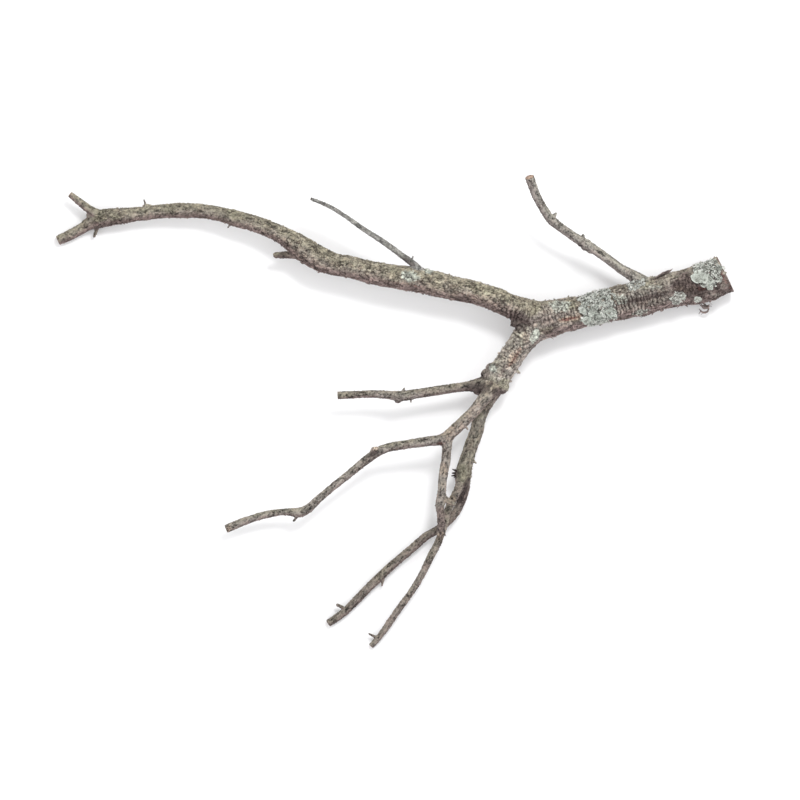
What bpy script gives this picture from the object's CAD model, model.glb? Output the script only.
"""The looks of a fallen tree branch, which lies flat and carries lichen on its trunk.

All limbs are grown as one skin, so that the bark runs on through every fork. The skin is given
its furrows, plates and wrinkles, and is then parted into one closed piece for each limb.
Flakes, loose bark, small tufts and lichen are grown on it.

Numbers in the tables are millimetres on a square sheet that is looked down on: x runs to the
right, y runs down the sheet, and z is the height above the ground.
"""

import logging
import math
from dataclasses import dataclass, field
from enum import Enum, IntEnum

import bmesh
import bpy
import numpy as np
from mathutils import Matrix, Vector
from mathutils.bvhtree import BVHTree


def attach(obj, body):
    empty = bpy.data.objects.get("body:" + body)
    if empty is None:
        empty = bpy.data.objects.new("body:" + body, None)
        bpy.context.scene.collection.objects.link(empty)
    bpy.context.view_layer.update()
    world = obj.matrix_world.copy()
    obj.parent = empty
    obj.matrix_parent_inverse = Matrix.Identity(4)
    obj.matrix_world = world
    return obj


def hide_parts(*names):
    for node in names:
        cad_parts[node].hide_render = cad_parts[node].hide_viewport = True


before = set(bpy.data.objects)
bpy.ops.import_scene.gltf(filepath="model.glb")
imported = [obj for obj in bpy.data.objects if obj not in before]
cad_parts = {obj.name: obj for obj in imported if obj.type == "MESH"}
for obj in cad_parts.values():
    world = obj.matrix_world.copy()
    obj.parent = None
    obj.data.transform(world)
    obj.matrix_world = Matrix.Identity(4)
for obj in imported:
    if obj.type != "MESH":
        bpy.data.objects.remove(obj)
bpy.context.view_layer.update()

LOG = logging.getLogger("branch")

MM = 0.001
SHEET_CENTRE_X = 394.54
SHEET_CENTRE_Y = 413.8
EYE_X = 400.0
EYE_Y = 400.0
EYE_HEIGHT = 5000.0

# Stations along each limb: x, y, height of the middle, radius.
TRUNK = (
    (725.4, 273.6, 18.4, 18.5), (712, 280, 18.4, 18.6), (697, 284.8, 18.6, 18.4),
    (674, 289.4, 20.2, 17.2), (656, 294.3, 21.6, 17), (642, 297.5, 22.6, 17.2),
    (618, 303.6, 24.4, 16.8), (598, 308, 26, 15.8), (578, 313, 27.6, 15.7), (560, 316.6, 29, 17),
    (546, 319.6, 30, 16.6), (535, 321.6, 30.4, 13.6),
)
UPPER_TWIG = (
    (653, 289, 23, 7.2), (641, 281, 27, 6.8), (631, 274.8, 29.5, 5.5), (621, 268.8, 32, 4.9),
    (604, 256.4, 35.5, 4.7), (590, 246.8, 39, 4.9), (576, 238, 42.5, 4.6), (562, 228.4, 46.5, 4.4),
    (551, 219.6, 50.5, 4.8), (544, 209.4, 55, 4.5), (537.6, 198.4, 60.5, 4.4),
    (533.4, 188.4, 66, 4.5), (529.5, 177, 73, 4.7),
)
LONG_LIMB = (
    (551, 318, 30, 10.8), (538, 315.4, 30.3, 12.2), (527, 312, 30.8, 12.7),
    (517, 308.6, 31.3, 12.3), (508, 305, 31.8, 12), (495, 299.2, 32.5, 11.8),
    (483, 295.4, 33, 11.5), (469, 291, 33.5, 11.3), (450, 287.5, 34, 11.8),
    (430, 282.6, 34.5, 12.5), (410, 278.6, 34.5, 12.1), (390, 276, 34, 11.5),
    (370, 272, 33.5, 11.3), (350, 267, 33, 11), (334, 264.2, 32, 11.3), (319, 258.3, 31, 11.9),
    (305.5, 250.6, 29.5, 12.1), (292, 241, 28, 10.4), (278, 233, 27, 8.7), (262, 226.4, 25.5, 8.1),
    (248, 221.6, 24.5, 7.9), (235, 218.4, 23.5, 8), (220, 214.2, 22.5, 7.4), (200, 211, 21, 7.3),
    (180, 210.5, 19.5, 7.4), (160, 211.6, 18, 7), (140, 213.8, 16.5, 7.2), (120, 216, 14.6, 8),
    (107, 217.6, 12.8, 8.8), (97, 220.5, 10.6, 8), (88, 224.6, 8.6, 6.2), (80, 229.6, 7, 5.5),
    (70, 235, 5.9, 5.5), (57.8, 240.4, 5, 5),
)
TIP_PRONG = (
    (106, 217, 13.5, 6.6), (96, 213.4, 14.2, 5), (88, 208.4, 15.2, 4.2), (80, 202.2, 16.2, 3.7),
    (69.8, 194, 17.4, 3.1),
)
GREY_TWIG = (
    (424, 276, 37, 4.8), (416, 266.6, 39.5, 3.8), (410, 261.5, 41, 3.4), (400, 254, 43.5, 3),
    (387, 244.4, 46.5, 3.1), (375, 236.6, 48.5, 2.8), (362, 228, 51, 2.6), (350, 219.4, 53, 2.3),
    (337, 210.8, 55, 2.2), (324, 204, 56.5, 2.1), (310.5, 198.6, 58, 1.9),
)
LOWER_LIMB = (
    (552, 321.6, 28.8, 11), (540, 326, 29, 12.8), (527, 335, 29.5, 13.2), (517.5, 348, 30, 12.3),
    (508, 362, 30.5, 12.2), (499.5, 375, 30.5, 12.4), (494, 384, 29.5, 11.6), (491, 390, 28.5, 8.8),
)
SHORT_TWIG = (
    (492, 381.5, 30, 6.8), (482, 384.5, 31, 7.4), (475, 385.6, 31.8, 6.4), (465, 386.6, 32.5, 4.8),
    (450, 388.6, 33.5, 4.8), (437, 390.6, 34, 4.8), (424, 392.6, 34.5, 4.8),
    (412, 394.4, 34.5, 4.9), (400, 396, 34.5, 5.1), (386, 394.8, 34, 4.2), (370, 394, 33.5, 3.9),
    (352, 394.8, 33, 3.9), (337.5, 395.4, 32.5, 4),
)
MIDDLE_LIMB = (
    (497, 380, 34, 5), (491.5, 388, 38.5, 7.2), (486.6, 395.6, 41.5, 6.7),
    (477.8, 406.6, 43.6, 5.9), (470.4, 414.8, 44.4, 5.8), (462, 423, 44.6, 5.9),
    (453, 431.6, 44.6, 6), (446, 438.4, 44.2, 6.2),
)
LEFT_TWIG = (
    (447.6, 437.6, 44, 3.3), (440, 440, 43.6, 5.3), (429, 441.2, 43, 4.9), (415, 443.2, 42, 4.7),
    (400, 445.4, 41, 4.6), (387.5, 447.8, 39.6, 4.6), (377, 452.4, 38.2, 4.8),
    (363.6, 462, 36, 4.3), (348.1, 474.8, 33.5, 3.9), (333, 486.8, 31, 3.9), (318, 499.6, 28.5, 4),
    (307.5, 509.2, 26.5, 4.7), (298, 512.6, 25, 4.9), (286, 511.8, 23.5, 3.6),
    (270, 513.8, 21.5, 3.8), (255, 517.8, 19.5, 3.8), (241.5, 522.4, 18, 4), (226, 529, 16.2, 4.2),
)
BROKEN_TWIG = (
    (446.4, 436.6, 44, 3.4), (447.2, 445, 43.6, 5), (446.6, 452, 43, 4.6), (445.8, 462, 42, 4.7),
    (443.6, 472, 41, 4.7), (442.4, 482, 40, 4.5), (441.8, 491, 39, 4.4), (441, 499, 38.2, 4.9),
    (440, 505.4, 37.6, 4.8), (440.4, 512, 37, 4), (440.9, 521, 36.2, 3.7), (441, 528, 35.6, 4),
    (440.8, 534.6, 35, 4.6),
)
UNDER_LIMB = (
    (497, 384, 28, 7), (490.2, 395, 26, 7.8), (482.8, 408, 24.2, 7.2), (478.8, 420, 23.2, 6.9),
    (476, 433, 22.2, 6.9), (471.4, 445, 21.4, 7), (468, 456, 20.8, 7), (464.6, 467, 20.2, 7.4),
    (462.6, 476.5, 19.4, 7.8), (462.4, 481, 19, 6.4),
)
THIN_TWIG = (
    (463.6, 473, 20.4, 4.8), (459.8, 486, 21.2, 4.5), (455.2, 495.5, 21.8, 4.2),
    (449.9, 505, 22.3, 4), (446.6, 515, 22.3, 3.8), (444.2, 525, 22, 3.8), (440.2, 537, 21, 3.8),
    (436.4, 546, 20, 3.8), (430.2, 557.4, 18, 3.8), (421.5, 575.4, 15, 3.5), (411, 592.4, 12, 3.5),
    (399.5, 608, 9.2, 3.5), (387.8, 625.2, 6.6, 3.4), (378, 638.4, 4.6, 3.1), (371, 646.2, 3.2, 3),
)
LOW_TWIG = (
    (465, 472, 18, 4.3), (465.4, 485, 15, 4.9), (463.6, 494, 13.2, 4.5), (460.4, 503.4, 11.6, 4.4),
    (456, 511.6, 10.4, 4.3), (449, 520.2, 9.6, 4.2), (437.4, 530, 8.8, 4.2),
    (425.4, 536.8, 8.2, 4.1), (411.6, 548.8, 7.6, 4.2), (397.6, 560.6, 7, 4.2),
    (384.6, 572.2, 6.4, 4.6), (370.6, 585.6, 5.8, 4.4), (357.6, 598.8, 5.2, 4.2),
    (345.6, 610.8, 4.6, 4.1), (336, 618.2, 4.2, 4), (328, 623.6, 3.9, 3.8),
)
BARK_CURL = (
    (699, 297, 15, 1.6), (703.5, 303.5, 13, 1.7), (708, 307, 11, 1.5), (707.6, 311.4, 9.4, 1.4),
    (703, 312.4, 8.2, 1.3), (699.2, 309, 7.4, 1.2),
)
BARK_FLAP = (
    (653, 281, 26.5, 2.6), (660, 275.6, 27.8, 3.2), (666, 272.4, 28.8, 3), (671.6, 270, 29.8, 1.6),
)

# Spurs, buds and broken stubs: foot and tip, each x, y, height, radius.
LONG_LIMB_SPURS = (
    ((301, 254.5, 27, 4.6), (276, 255.2, 24.6, 3.1)), ((147, 210, 20, 2.2), (144, 199.6, 22, 0.7)),
    ((231, 220, 20, 1.8), (228.4, 227.4, 18, 0.8)), ((98, 226, 9, 2.2), (94.2, 236.2, 6, 1.5)),
)
UPPER_TWIG_SPURS = (
    ((551.5, 219.5, 51, 3.2), (555.8, 213.4, 53, 1.5)),
    ((581.2, 240, 42, 3), (583.2, 235.6, 43.6, 1.7)),
)
LOWER_LIMB_SPURS = (((511, 367, 24, 3.6), (519.4, 373, 28, 1.3)),)
SHORT_TWIG_SPURS = (
    ((403, 394, 35, 2.4), (403.8, 388.8, 37, 1.2)), ((410, 396, 34, 2.2), (411, 402, 33, 0.9)),
)
MIDDLE_LIMB_SPURS = (((462.4, 423.4, 45, 2.4), (467.4, 428.8, 46, 0.9)),)
LEFT_TWIG_SPURS = (
    ((376.8, 452, 38.4, 2.9), (376, 449, 46, 2.5)),
    ((298.2, 513.6, 25, 2.2), (296.4, 518.4, 23.8, 1.1)),
    ((296.6, 518, 23.8, 1.1), (293.8, 520.6, 22.8, 1.4)),
)
BROKEN_TWIG_SPURS = (((443, 498, 38.6, 3.6), (453.6, 503.8, 38, 2.4)),)
UNDER_LIMB_SPURS = (
    ((471, 458, 21, 2.4), (476, 463.4, 22, 0.8)), ((460, 472, 21, 3.2), (455.4, 472.8, 22.4, 1.4)),
)
THIN_TWIG_SPURS = (((376.6, 637.6, 5.4, 2), (368.8, 633.6, 7, 0.9)),)
LOW_TWIG_SPURS = (
    ((383.4, 574.6, 6.4, 2.4), (382, 585.6, 6, 0.9)), ((345, 609, 6, 2.2), (337.2, 604.8, 9, 1.5)),
)
GREY_TWIG_SPURS = (((411, 262, 41, 1.9), (413.2, 256.6, 43, 0.8)),)

# Swellings: x, y, height, then half sizes along x, y and z.
TRUNK_LUMPS = (
    (642, 310.6, 21, 7, 5.8, 8), (591, 320.4, 24, 6.4, 4.8, 7), (712, 294, 24, 9, 6.6, 9),
)
LONG_LIMB_LUMPS = (
    (147.4, 208.6, 18, 6, 4.8, 4.8), (98, 221, 14, 5, 5, 6.6), (91, 215.6, 12, 5, 5, 4),
    (518.4, 320.6, 29, 7.6, 6.6, 9),
)
UPPER_TWIG_LUMPS = (
    (581.6, 241.6, 41.2, 5.6, 5.4, 5.4), (586.4, 245, 39.8, 6.2, 6, 5.8),
    (591.2, 248.2, 38.6, 5.8, 5.6, 5.4),
)
SHORT_TWIG_LUMPS = ((398, 399, 33.4, 4.2, 4.4, 4.4), (477.6, 389.4, 31, 5, 5.6, 5))
LOWER_LIMB_LUMPS = (
    (502.4, 385.6, 28, 6.6, 7.6, 8), (488.8, 374.6, 29, 7, 6.4, 8), (492.6, 368.8, 29, 6.6, 6.4, 8),
)
LEFT_TWIG_LUMPS = ((296.6, 514.4, 24.4, 5, 3.4, 4.4), (375, 450.6, 38.6, 4.8, 4.2, 4.2))

# The skin's mesh cell, the raw tubes' steps, and the swelling of the bark as in the solids.
SKIN_CELL = 0.7
SIDE_LENGTH = 1.5
RING_STEP = 1.5
KNOBBLE = 0.0175
KNOBBLE_WAVES = ((1.0, 2, 0.083, 0.0), (0.8, 3, -0.131, 1.0), (0.7, 0, 0.21, 2.0))
TRUNK_RIBS = (
    (0.5, 5, 0.006, math.pi),
    (0.35, 8, -0.012, 2.0),
    (0.3, 2, 0.24, 1.0),
    (0.25, 4, -0.27, 0.0),
)

# The shapes of tubes, their rounded and ragged ends, lumps and hairs.
LEAST_SIDES = 12
DOME_RINGS = (0.3, 0.55, 0.75, 0.9, 0.98)
RAGGED_DEPTH = 0.35
RAGGED_TEETH = 3.06
LUMP_SIDES = 24
HAIR_STEP = 0.8

# How the skin's points are matched to the limbs: the stretches' step, the reach round each one,
# how many points are matched at once, and how far apart the grain of two stretches lies.
STRETCH_STEP = 1.2
NEAR_REACH = 16.0
FAR_OFF = 1e3
BLOCK = 20000
GRAIN_GAP = 60.0

# How the skin is smoothed: the shares of one round, and the rounds for its forks, forms and marks.
SMOOTHING = (0.5, -0.53)
FORK_ROUNDS = 8
FORM_ROUNDS = 10
MARK_ROUNDS = 4

# The side of the bark that green film grows on, a half turn, and how deep a crust is let in.
WEATHER_SIDE = (0.22, 0.85, 0.3)
HALF_TURN = 3.14
CRUST_DEPTH = 0.8

# What the skin keeps on its points for the finish.
SKIN_VECTORS = ("grain", "tints", "spots")
SKIN_NUMBERS = ("cut", "crevice", "plate", "hue", "rust", "shade")

# The kind of a tree's input, by the type of its starting value.
SOCKET_KINDS = {float: "NodeSocketFloat", int: "NodeSocketInt", type(None): "NodeSocketCollection"}


class End(Enum):
    """How a limb ends."""

    CUT = "cut"
    RAGGED = "ragged"
    DOMED = "domed"


class Mark(IntEnum):
    """What colours or shapes a patch of bark. The value is its column in the skin's marks."""

    FILM = 0
    MAUVE = 1
    GREY = 2
    PALE = 3
    TAN = 4
    DARK = 5
    WRINKLE = 6
    RUST = 7
    DIM = 8
    LIT = 9


@dataclass(frozen=True)
class Limb:
    """One limb of the branch, as it grows.

    Film, mauve, grey and tan are the shares of green film, purple-brown skin, bare grey skin and
    tan grain in its bark. Shade is how much lighter than usual it is, or darker below 0.
    """

    stations: tuple
    slot: str
    end: End = End.CUT
    spurs: tuple = ()
    lumps: tuple = ()
    grows_from: tuple = ()
    film: float = 0.3
    mauve: float = 0.2
    grey: float = 0.0
    tan: float = 0.0
    shade: float = 0.0


@dataclass(frozen=True)
class Patch:
    """A patch of bark seen from above: its middle, half sizes, turn in degrees and strength."""

    x: float
    y: float
    half_x: float
    half_y: float
    turn: float = 0.0
    strength: float = 1.0


LIMBS = {
    "trunk": Limb(TRUNK, "bark", End.DOMED, (), TRUNK_LUMPS, (), film=0.2, mauve=0.3, grey=0.15),
    "long_limb": Limb(
        LONG_LIMB, "bark", End.CUT, LONG_LIMB_SPURS, LONG_LIMB_LUMPS, ("trunk",),
        film=0.45, mauve=0.3, grey=0.1,
    ),
    "lower_limb": Limb(
        LOWER_LIMB, "bark", End.DOMED, LOWER_LIMB_SPURS, LOWER_LIMB_LUMPS, ("trunk", "long_limb"),
        film=0.25, mauve=0.1, grey=0.3, shade=0.25,
    ),
    "upper_twig": Limb(
        UPPER_TWIG, "twig_bark", End.CUT, UPPER_TWIG_SPURS, UPPER_TWIG_LUMPS, ("trunk",),
        film=0.3, mauve=0.25, grey=0.5, shade=0.05,
    ),
    "grey_twig": Limb(
        GREY_TWIG, "pale_bark", End.CUT, GREY_TWIG_SPURS, (), ("long_limb",),
        film=0.05, grey=1.0,
    ),
    "short_twig": Limb(
        SHORT_TWIG, "twig_bark", End.CUT, SHORT_TWIG_SPURS, SHORT_TWIG_LUMPS, ("lower_limb",),
        film=0.3, mauve=0.35, grey=0.2, shade=-0.05,
    ),
    "middle_limb": Limb(
        MIDDLE_LIMB, "bark", End.DOMED, MIDDLE_LIMB_SPURS, (),
        ("lower_limb", "short_twig", "under_limb"),
        film=0.2, grey=0.15, tan=0.3, shade=-0.15,
    ),
    "left_twig": Limb(
        LEFT_TWIG, "twig_bark", End.CUT, LEFT_TWIG_SPURS, LEFT_TWIG_LUMPS,
        ("middle_limb", "broken_twig"),
        film=0.2, mauve=0.2, grey=0.25, shade=-0.04,
    ),
    "broken_twig": Limb(
        BROKEN_TWIG, "twig_bark", End.RAGGED, BROKEN_TWIG_SPURS, (), ("middle_limb",),
        film=0.15, mauve=0.15, grey=0.25, tan=0.2, shade=-0.08,
    ),
    "under_limb": Limb(
        UNDER_LIMB, "bark", End.DOMED, UNDER_LIMB_SPURS, (), ("lower_limb",),
        film=0.5, mauve=0.2, grey=0.15, shade=-0.25,
    ),
    "thin_twig": Limb(
        THIN_TWIG, "twig_bark", End.CUT, THIN_TWIG_SPURS, (), ("under_limb", "low_twig"),
        film=0.35, mauve=0.4, grey=0.2, shade=-0.02,
    ),
    "low_twig": Limb(
        LOW_TWIG, "twig_bark", End.CUT, LOW_TWIG_SPURS, (), ("under_limb",),
        film=0.35, mauve=0.45, grey=0.15, shade=-0.16,
    ),
}

# Each patch's values, in the order of Patch's fields.
PATCHES = {
    Mark.FILM: (
        (570, 304, 6, 6), (531, 307, 13, 9, 0, 0.7), (546, 331, 10, 4, 20, 0.9), (506, 385, 9, 7),
        (645, 284, 14, 5, 13, 0.8), (100, 218, 8, 5), (115, 217, 7, 4, 0, 0.8),
        (345, 395, 12, 5, 0, 0.7), (250, 221, 60, 5, 0, 0.5), (462, 474, 6, 9, 0, 0.9),
        (449, 506, 6, 14, -25, 0.6), (395, 252, 22, 3, -33, 0.7),
    ),
    Mark.MAUVE: (
        (441, 521, 6, 16), (465, 497, 6, 16, -20, 0.9), (395, 612, 28, 40, 0, 0.5),
        (645, 309, 45, 6, 13, 0.4), (695, 286, 34, 16, 14, 0.8), (480, 303, 40, 6, -14, 0.7),
        (604, 304, 30, 8, 13, 0.4), (228.6, 528.4, 3, 5, 0, 0.5),
    ),
    Mark.GREY: ((400, 397, 30, 6, 0, 0.4), (640, 292, 30, 6, 13, 0.4)),
    Mark.PALE: (
        (560, 307, 11, 7, 10, 0.8), (535, 335, 5, 10, -20, 0.8), (493, 368, 4.5, 5, 0, 0.8),
        (429, 271, 6.5, 3.6), (410, 276, 12, 6, -12, 0.8), (620, 299, 8, 7, 0, 0.7),
        (642, 312, 10, 3, 13, 0.7), (520, 349, 7, 5, 0, 0.35), (655, 287, 9, 3, 14, 0.5),
    ),
    Mark.TAN: (
        (570, 319, 15, 3, 8, 0.8), (515, 356, 5, 13, -32, 0.8), (527, 338, 7, 6, 0, 0.5),
        (444, 470, 6, 8, 0, 0.6), (449, 500, 7, 5, 0, 0.6), (441, 536, 6, 5, 0, 0.9),
        (376, 448.6, 3.2, 3.2, 0, 0.8), (487, 300, 26, 5, -14, 0.4), (690, 289, 10, 3, 14, 0.6),
        (448, 431, 9, 8, 0, 0.6), (679, 288, 6, 3, 12, 0.8), (228.6, 528.4, 3, 5, 0, 0.8),
    ),
    Mark.DARK: (
        (696, 290, 24, 8, 14, 0.5), (702, 285, 8, 3, 20, 0.8), (719, 288, 8, 12, 20, 0.45),
        (677, 286, 10, 3.5, 10, 0.8), (660, 294, 14, 4, 14, 0.5), (517, 322, 14, 12, 0, 0.85),
        (482, 371, 9, 10, -30, 0.6), (477, 388, 15, 7, 0, 0.75), (500, 393, 8, 6, 0, 0.8),
        (284, 255.5, 10, 5), (470, 299, 22, 6, -10, 0.4), (466.6, 484, 3.4, 7, -20),
        (461, 498, 2.6, 12, -24, 0.9), (454.6, 473, 3, 3.5, 0, 1.3), (640, 299, 40, 2.4, 13, 0.8),
        (646, 317, 8, 3.5, 10, 0.9), (503, 371, 2.2, 2.4, 0, 1.4), (491, 383, 2.2, 2.2, 0, 1.4),
        (144, 201, 2.4, 3, 0, 0.9), (725, 281, 5, 13, 27, 0.5), (373.2, 453.6, 4.2, 2.6, 40),
        (409, 262.4, 8, 3.4, -33, 0.8),
    ),
    Mark.WRINKLE: (
        (632, 303, 34, 11, 13), (690, 286, 22, 10, 14, 0.6), (520, 322, 20, 17),
        (510, 356, 10, 24, -30, 0.5), (548, 318, 12, 16, 0, 0.7), (572, 312, 12, 12, 8, 0.5),
    ),
    Mark.RUST: (
        (728, 282, 4, 11, 27, 0.4), (721, 272, 3, 8, 27, 0.5), (570, 318.6, 12, 1.5, 10, 0.9),
        (515, 357.5, 1.8, 15, -32, 0.6), (702, 288, 9, 2.6, 14, 0.7), (440, 443.5, 4, 2.6, 0, 0.6),
        (503, 371, 1.6, 1.8, 0, 0.3), (491, 383, 1.8, 1.8, 0, 0.3), (464, 294, 14, 1.4, -12, 0.4),
        (405, 284, 24, 1.8, -9, 0.35),
    ),
    Mark.DIM: (
        (650, 298, 36, 10, 13, 0.18), (700, 284, 26, 18, 14, 0.25), (90, 224, 60, 24, 0, 0.22),
        (215, 214, 90, 16, 0, 0.16),
    ),
    Mark.LIT: (
        (376.2, 448.6, 2.9, 2.9, 0, 1.2), (610, 318, 60, 5, 13, 0.25), (558, 316, 22, 18, 0, 0.16),
        (430, 284, 100, 16, -12, 0.14), (515, 356, 4, 13, -32, 0.2),
    ),
}


class Value:
    """A number, colour or vector on its way through a node tree, with Python's operators."""

    def __init__(self, graph: "Graph", socket: bpy.types.NodeSocket) -> None:
        """Holds the graph and the socket that the value comes out of."""
        self.graph = graph
        self.socket = socket

    def __add__(self, other: "Value | float") -> "Value":
        """The sum."""
        return self.graph.maths("ADD", self, other)

    def __sub__(self, other: "Value | float") -> "Value":
        """The difference."""
        return self.graph.maths("SUBTRACT", self, other)

    def __rsub__(self, other: float) -> "Value":
        """The difference, with the number first."""
        return self.graph.maths("SUBTRACT", other, self)

    def __mul__(self, other: "Value | float") -> "Value":
        """The product."""
        return self.graph.maths("MULTIPLY", self, other)

    def __rtruediv__(self, other: float) -> "Value":
        """The quotient, with the number first."""
        return self.graph.maths("DIVIDE", other, self)

    __radd__ = __add__
    __rmul__ = __mul__

    def step(self, low: float, high: float) -> "Value":
        """Rises smoothly from 0 at low to 1 at high, or falls where high is the lower one.

        Args:
            low: Where the result is 0.
            high: Where the result is 1.

        Returns:
            The eased share, from 0 to 1.
        """
        ends = {"Value": self, "From Min": low, "From Max": high}
        settings = {"interpolation_type": "SMOOTHSTEP"}
        if low > high:
            ends.update({"From Min": high, "From Max": low, "To Min": 1.0, "To Max": 0.0})
        return self.graph.add("ShaderNodeMapRange", settings, ends)

    def part(self, name: str) -> "Value":
        """One of the three numbers of a vector, by its letter."""
        return self.graph.add("ShaderNodeSeparateXYZ", {}, {"Vector": self}, name)


class Graph:
    """Makes the nodes of one shader or geometry tree."""

    def __init__(self, tree: bpy.types.NodeTree) -> None:
        """Holds the tree that the nodes go in."""
        self.tree = tree

    @staticmethod
    def find(sockets: bpy.types.bpy_prop_collection, name: str) -> bpy.types.NodeSocket:
        """The socket in use that has this identifier or name."""
        usable = [socket for socket in sockets if socket.enabled]
        for socket in usable:
            if name == socket.identifier:
                return socket
        return next(socket for socket in usable if name == socket.name)

    def node(self, kind: str, settings: dict, sockets: dict) -> bpy.types.Node:
        """Makes one node.

        Args:
            kind: The node's type.
            settings: Its own settings, with a ramp's stops under "stops".
            sockets: A number, colour or Value for each input that is used.

        Returns:
            The node.
        """
        made = self.tree.nodes.new(kind)
        for name, value in settings.items():
            if name == "stops":
                self.set_stops(made.color_ramp.elements, value)
            else:
                setattr(made, name, value)
        self.feed(made, sockets)
        return made

    def feed(self, node: bpy.types.Node, sockets: dict) -> None:
        """Gives a node's inputs their numbers, colours or Values."""
        for name, value in sockets.items():
            socket = self.find(node.inputs, name)
            if isinstance(value, Value):
                self.tree.links.new(value.socket, socket)
            else:
                socket.default_value = value

    @staticmethod
    def set_stops(elements: bpy.types.bpy_prop_collection, stops: tuple) -> None:
        """Gives a ramp its stops, each a place and a colour."""
        for _ in range(len(stops) - len(elements)):
            elements.new(1.0)
        for element, (place, colour) in zip(elements, stops):
            element.position = place
            element.color = colour

    def add(self, kind: str, settings: dict, sockets: dict, output: str = "") -> Value:
        """Makes one node and returns the value of its named output, or of its first one in use."""
        made = self.node(kind, settings, sockets)
        if output:
            return Value(self, self.find(made.outputs, output))
        return Value(self, next(socket for socket in made.outputs if socket.enabled))

    def maths(self, operation: str, *values: "Value | float") -> Value:
        """A Math node on one or two values."""
        names = ("Value", "Value_001")
        return self.add("ShaderNodeMath", {"operation": operation}, dict(zip(names, values)))

    def vector(self, operation: str, *values: "Value | tuple") -> Value:
        """A Vector Math node on one or two vectors."""
        names = ("Vector", "Vector_001")
        settings = {"operation": operation}
        return self.add("ShaderNodeVectorMath", settings, dict(zip(names, values)))

    def scaled(self, vector: Value, scale: float) -> Value:
        """The vector, made longer by a number."""
        return self.vector("MULTIPLY", vector, (scale, scale, scale))

    def combined(self, x: "Value | float", y: "Value | float", z: "Value | float") -> Value:
        """A vector of three numbers."""
        return self.add("ShaderNodeCombineXYZ", {}, {"X": x, "Y": y, "Z": z})

    def mixed(self, share: Value, first: "Value | tuple", second: "Value | tuple") -> Value:
        """Blends the second colour over the first, by a share."""
        sockets = {"Factor_Float": share, "A_Color": first, "B_Color": second}
        return self.add("ShaderNodeMix", {"data_type": "RGBA"}, sockets)

    def noise(
        self, place: Value, size: float, detail: float = 2.0, roughness: float = 0.5
    ) -> Value:
        """Cloudy noise from 0 to 1 whose clouds are about size apart."""
        sockets = {"Vector": place, "Scale": 1 / size, "Detail": detail, "Roughness": roughness}
        return self.add("ShaderNodeTexNoise", {}, sockets)

    def attribute(self, name: str) -> Value:
        """A vector attribute of the surface, in a shader."""
        return self.add("ShaderNodeAttribute", {"attribute_name": name}, {}, "Vector")

    def level(self, name: str) -> Value:
        """A number attribute of the surface, in a shader."""
        return self.add("ShaderNodeAttribute", {"attribute_name": name}, {}, "Fac")

    def place(self) -> Value:
        """The place on the object in millimetres, in a shader."""
        return self.scaled(self.add("ShaderNodeTexCoord", {}, {}, "Object"), 1 / MM)

    def bumpy(self, strength: float, depth: float, height: Value) -> Value:
        """The surface's normal, bent by small bumps, in a shader."""
        sockets = {"Strength": strength, "Distance": depth, "Height": height}
        return self.add("ShaderNodeBump", {}, sockets)


def rgb(red: float, green: float, blue: float) -> tuple[float, float, float, float]:
    """A colour given as 0 to 255, as linear light with full alpha."""
    channels = []
    for value in (red, green, blue):
        share = value / 255
        channels.append(share / 12.92 if share <= 0.04045 else ((share + 0.055) / 1.055) ** 2.4)
    return (*channels, 1.0)


def eased(values: np.ndarray, low: float, high: float) -> np.ndarray:
    """Rises smoothly from 0 at low to 1 at high; falls where high is the lower one."""
    share = np.clip((values - low) / (high - low), 0.0, 1.0)
    return share * share * (3 - 2 * share)


def circle(sides: int) -> np.ndarray:
    """The angles of points evenly round a circle."""
    return np.arange(sides) * (2 * math.pi / sides)


def distances(line: np.ndarray) -> np.ndarray:
    """How far along a line each of its points lies."""
    steps = np.linalg.norm(np.diff(line, axis=0), axis=1)
    return np.concatenate(([0.0], np.cumsum(steps)))


def oval_reach(sheet: np.ndarray, oval: "Patch | Lichen") -> np.ndarray:
    """How far points on the sheet lie from an oval's middle: 0 there and 1 on its rim."""
    turn = math.radians(oval.turn)
    x, y = sheet[:, 0] - oval.x, sheet[:, 1] - oval.y
    across = (x * math.cos(turn) - y * math.sin(turn)) / oval.half_x
    down = (x * math.sin(turn) + y * math.cos(turn)) / oval.half_y
    return np.hypot(across, down)


def cloud(points: np.ndarray, size: float, seed: int = 0) -> np.ndarray:
    """Smooth noise from 0 to 1 whose clouds are about size apart.

    Args:
        points: One row for each point.
        size: The clouds' size, in the points' units.
        seed: Picks another pattern.

    Returns:
        One number for each point.
    """
    cell = points / size
    low = np.floor(cell).astype(np.int64)
    share = cell - low
    share = share * share * (3 - 2 * share)
    total = np.zeros(len(points))
    for corner in range(8):
        steps = np.array([corner >> axis & 1 for axis in range(3)])
        key = low + steps
        mixed = key[:, 0] * 73856093 ^ key[:, 1] * 19349663 ^ key[:, 2] * 83492791 ^ seed * 7919
        mixed = (mixed ^ (mixed >> 13)) * 1274126177 & 0xFFFFFFFF
        level = ((mixed ^ (mixed >> 16)) & 0xFFFF) / 0xFFFF
        weight = np.where(steps == 1, share, 1 - share).prod(axis=1)
        total += weight * level
    return total


def to_ground(points: np.ndarray) -> np.ndarray:
    """Sheet points as millimetres over the ground, with the branch's middle at the origin."""
    height = np.maximum(points[:, 2], 0.0)
    nearer = 1 - height / EYE_HEIGHT
    across = EYE_X + (points[:, 0] - EYE_X) * nearer - SHEET_CENTRE_X
    away = SHEET_CENTRE_Y - EYE_Y - (points[:, 1] - EYE_Y) * nearer
    return np.stack((across, away, height), axis=1)


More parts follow.
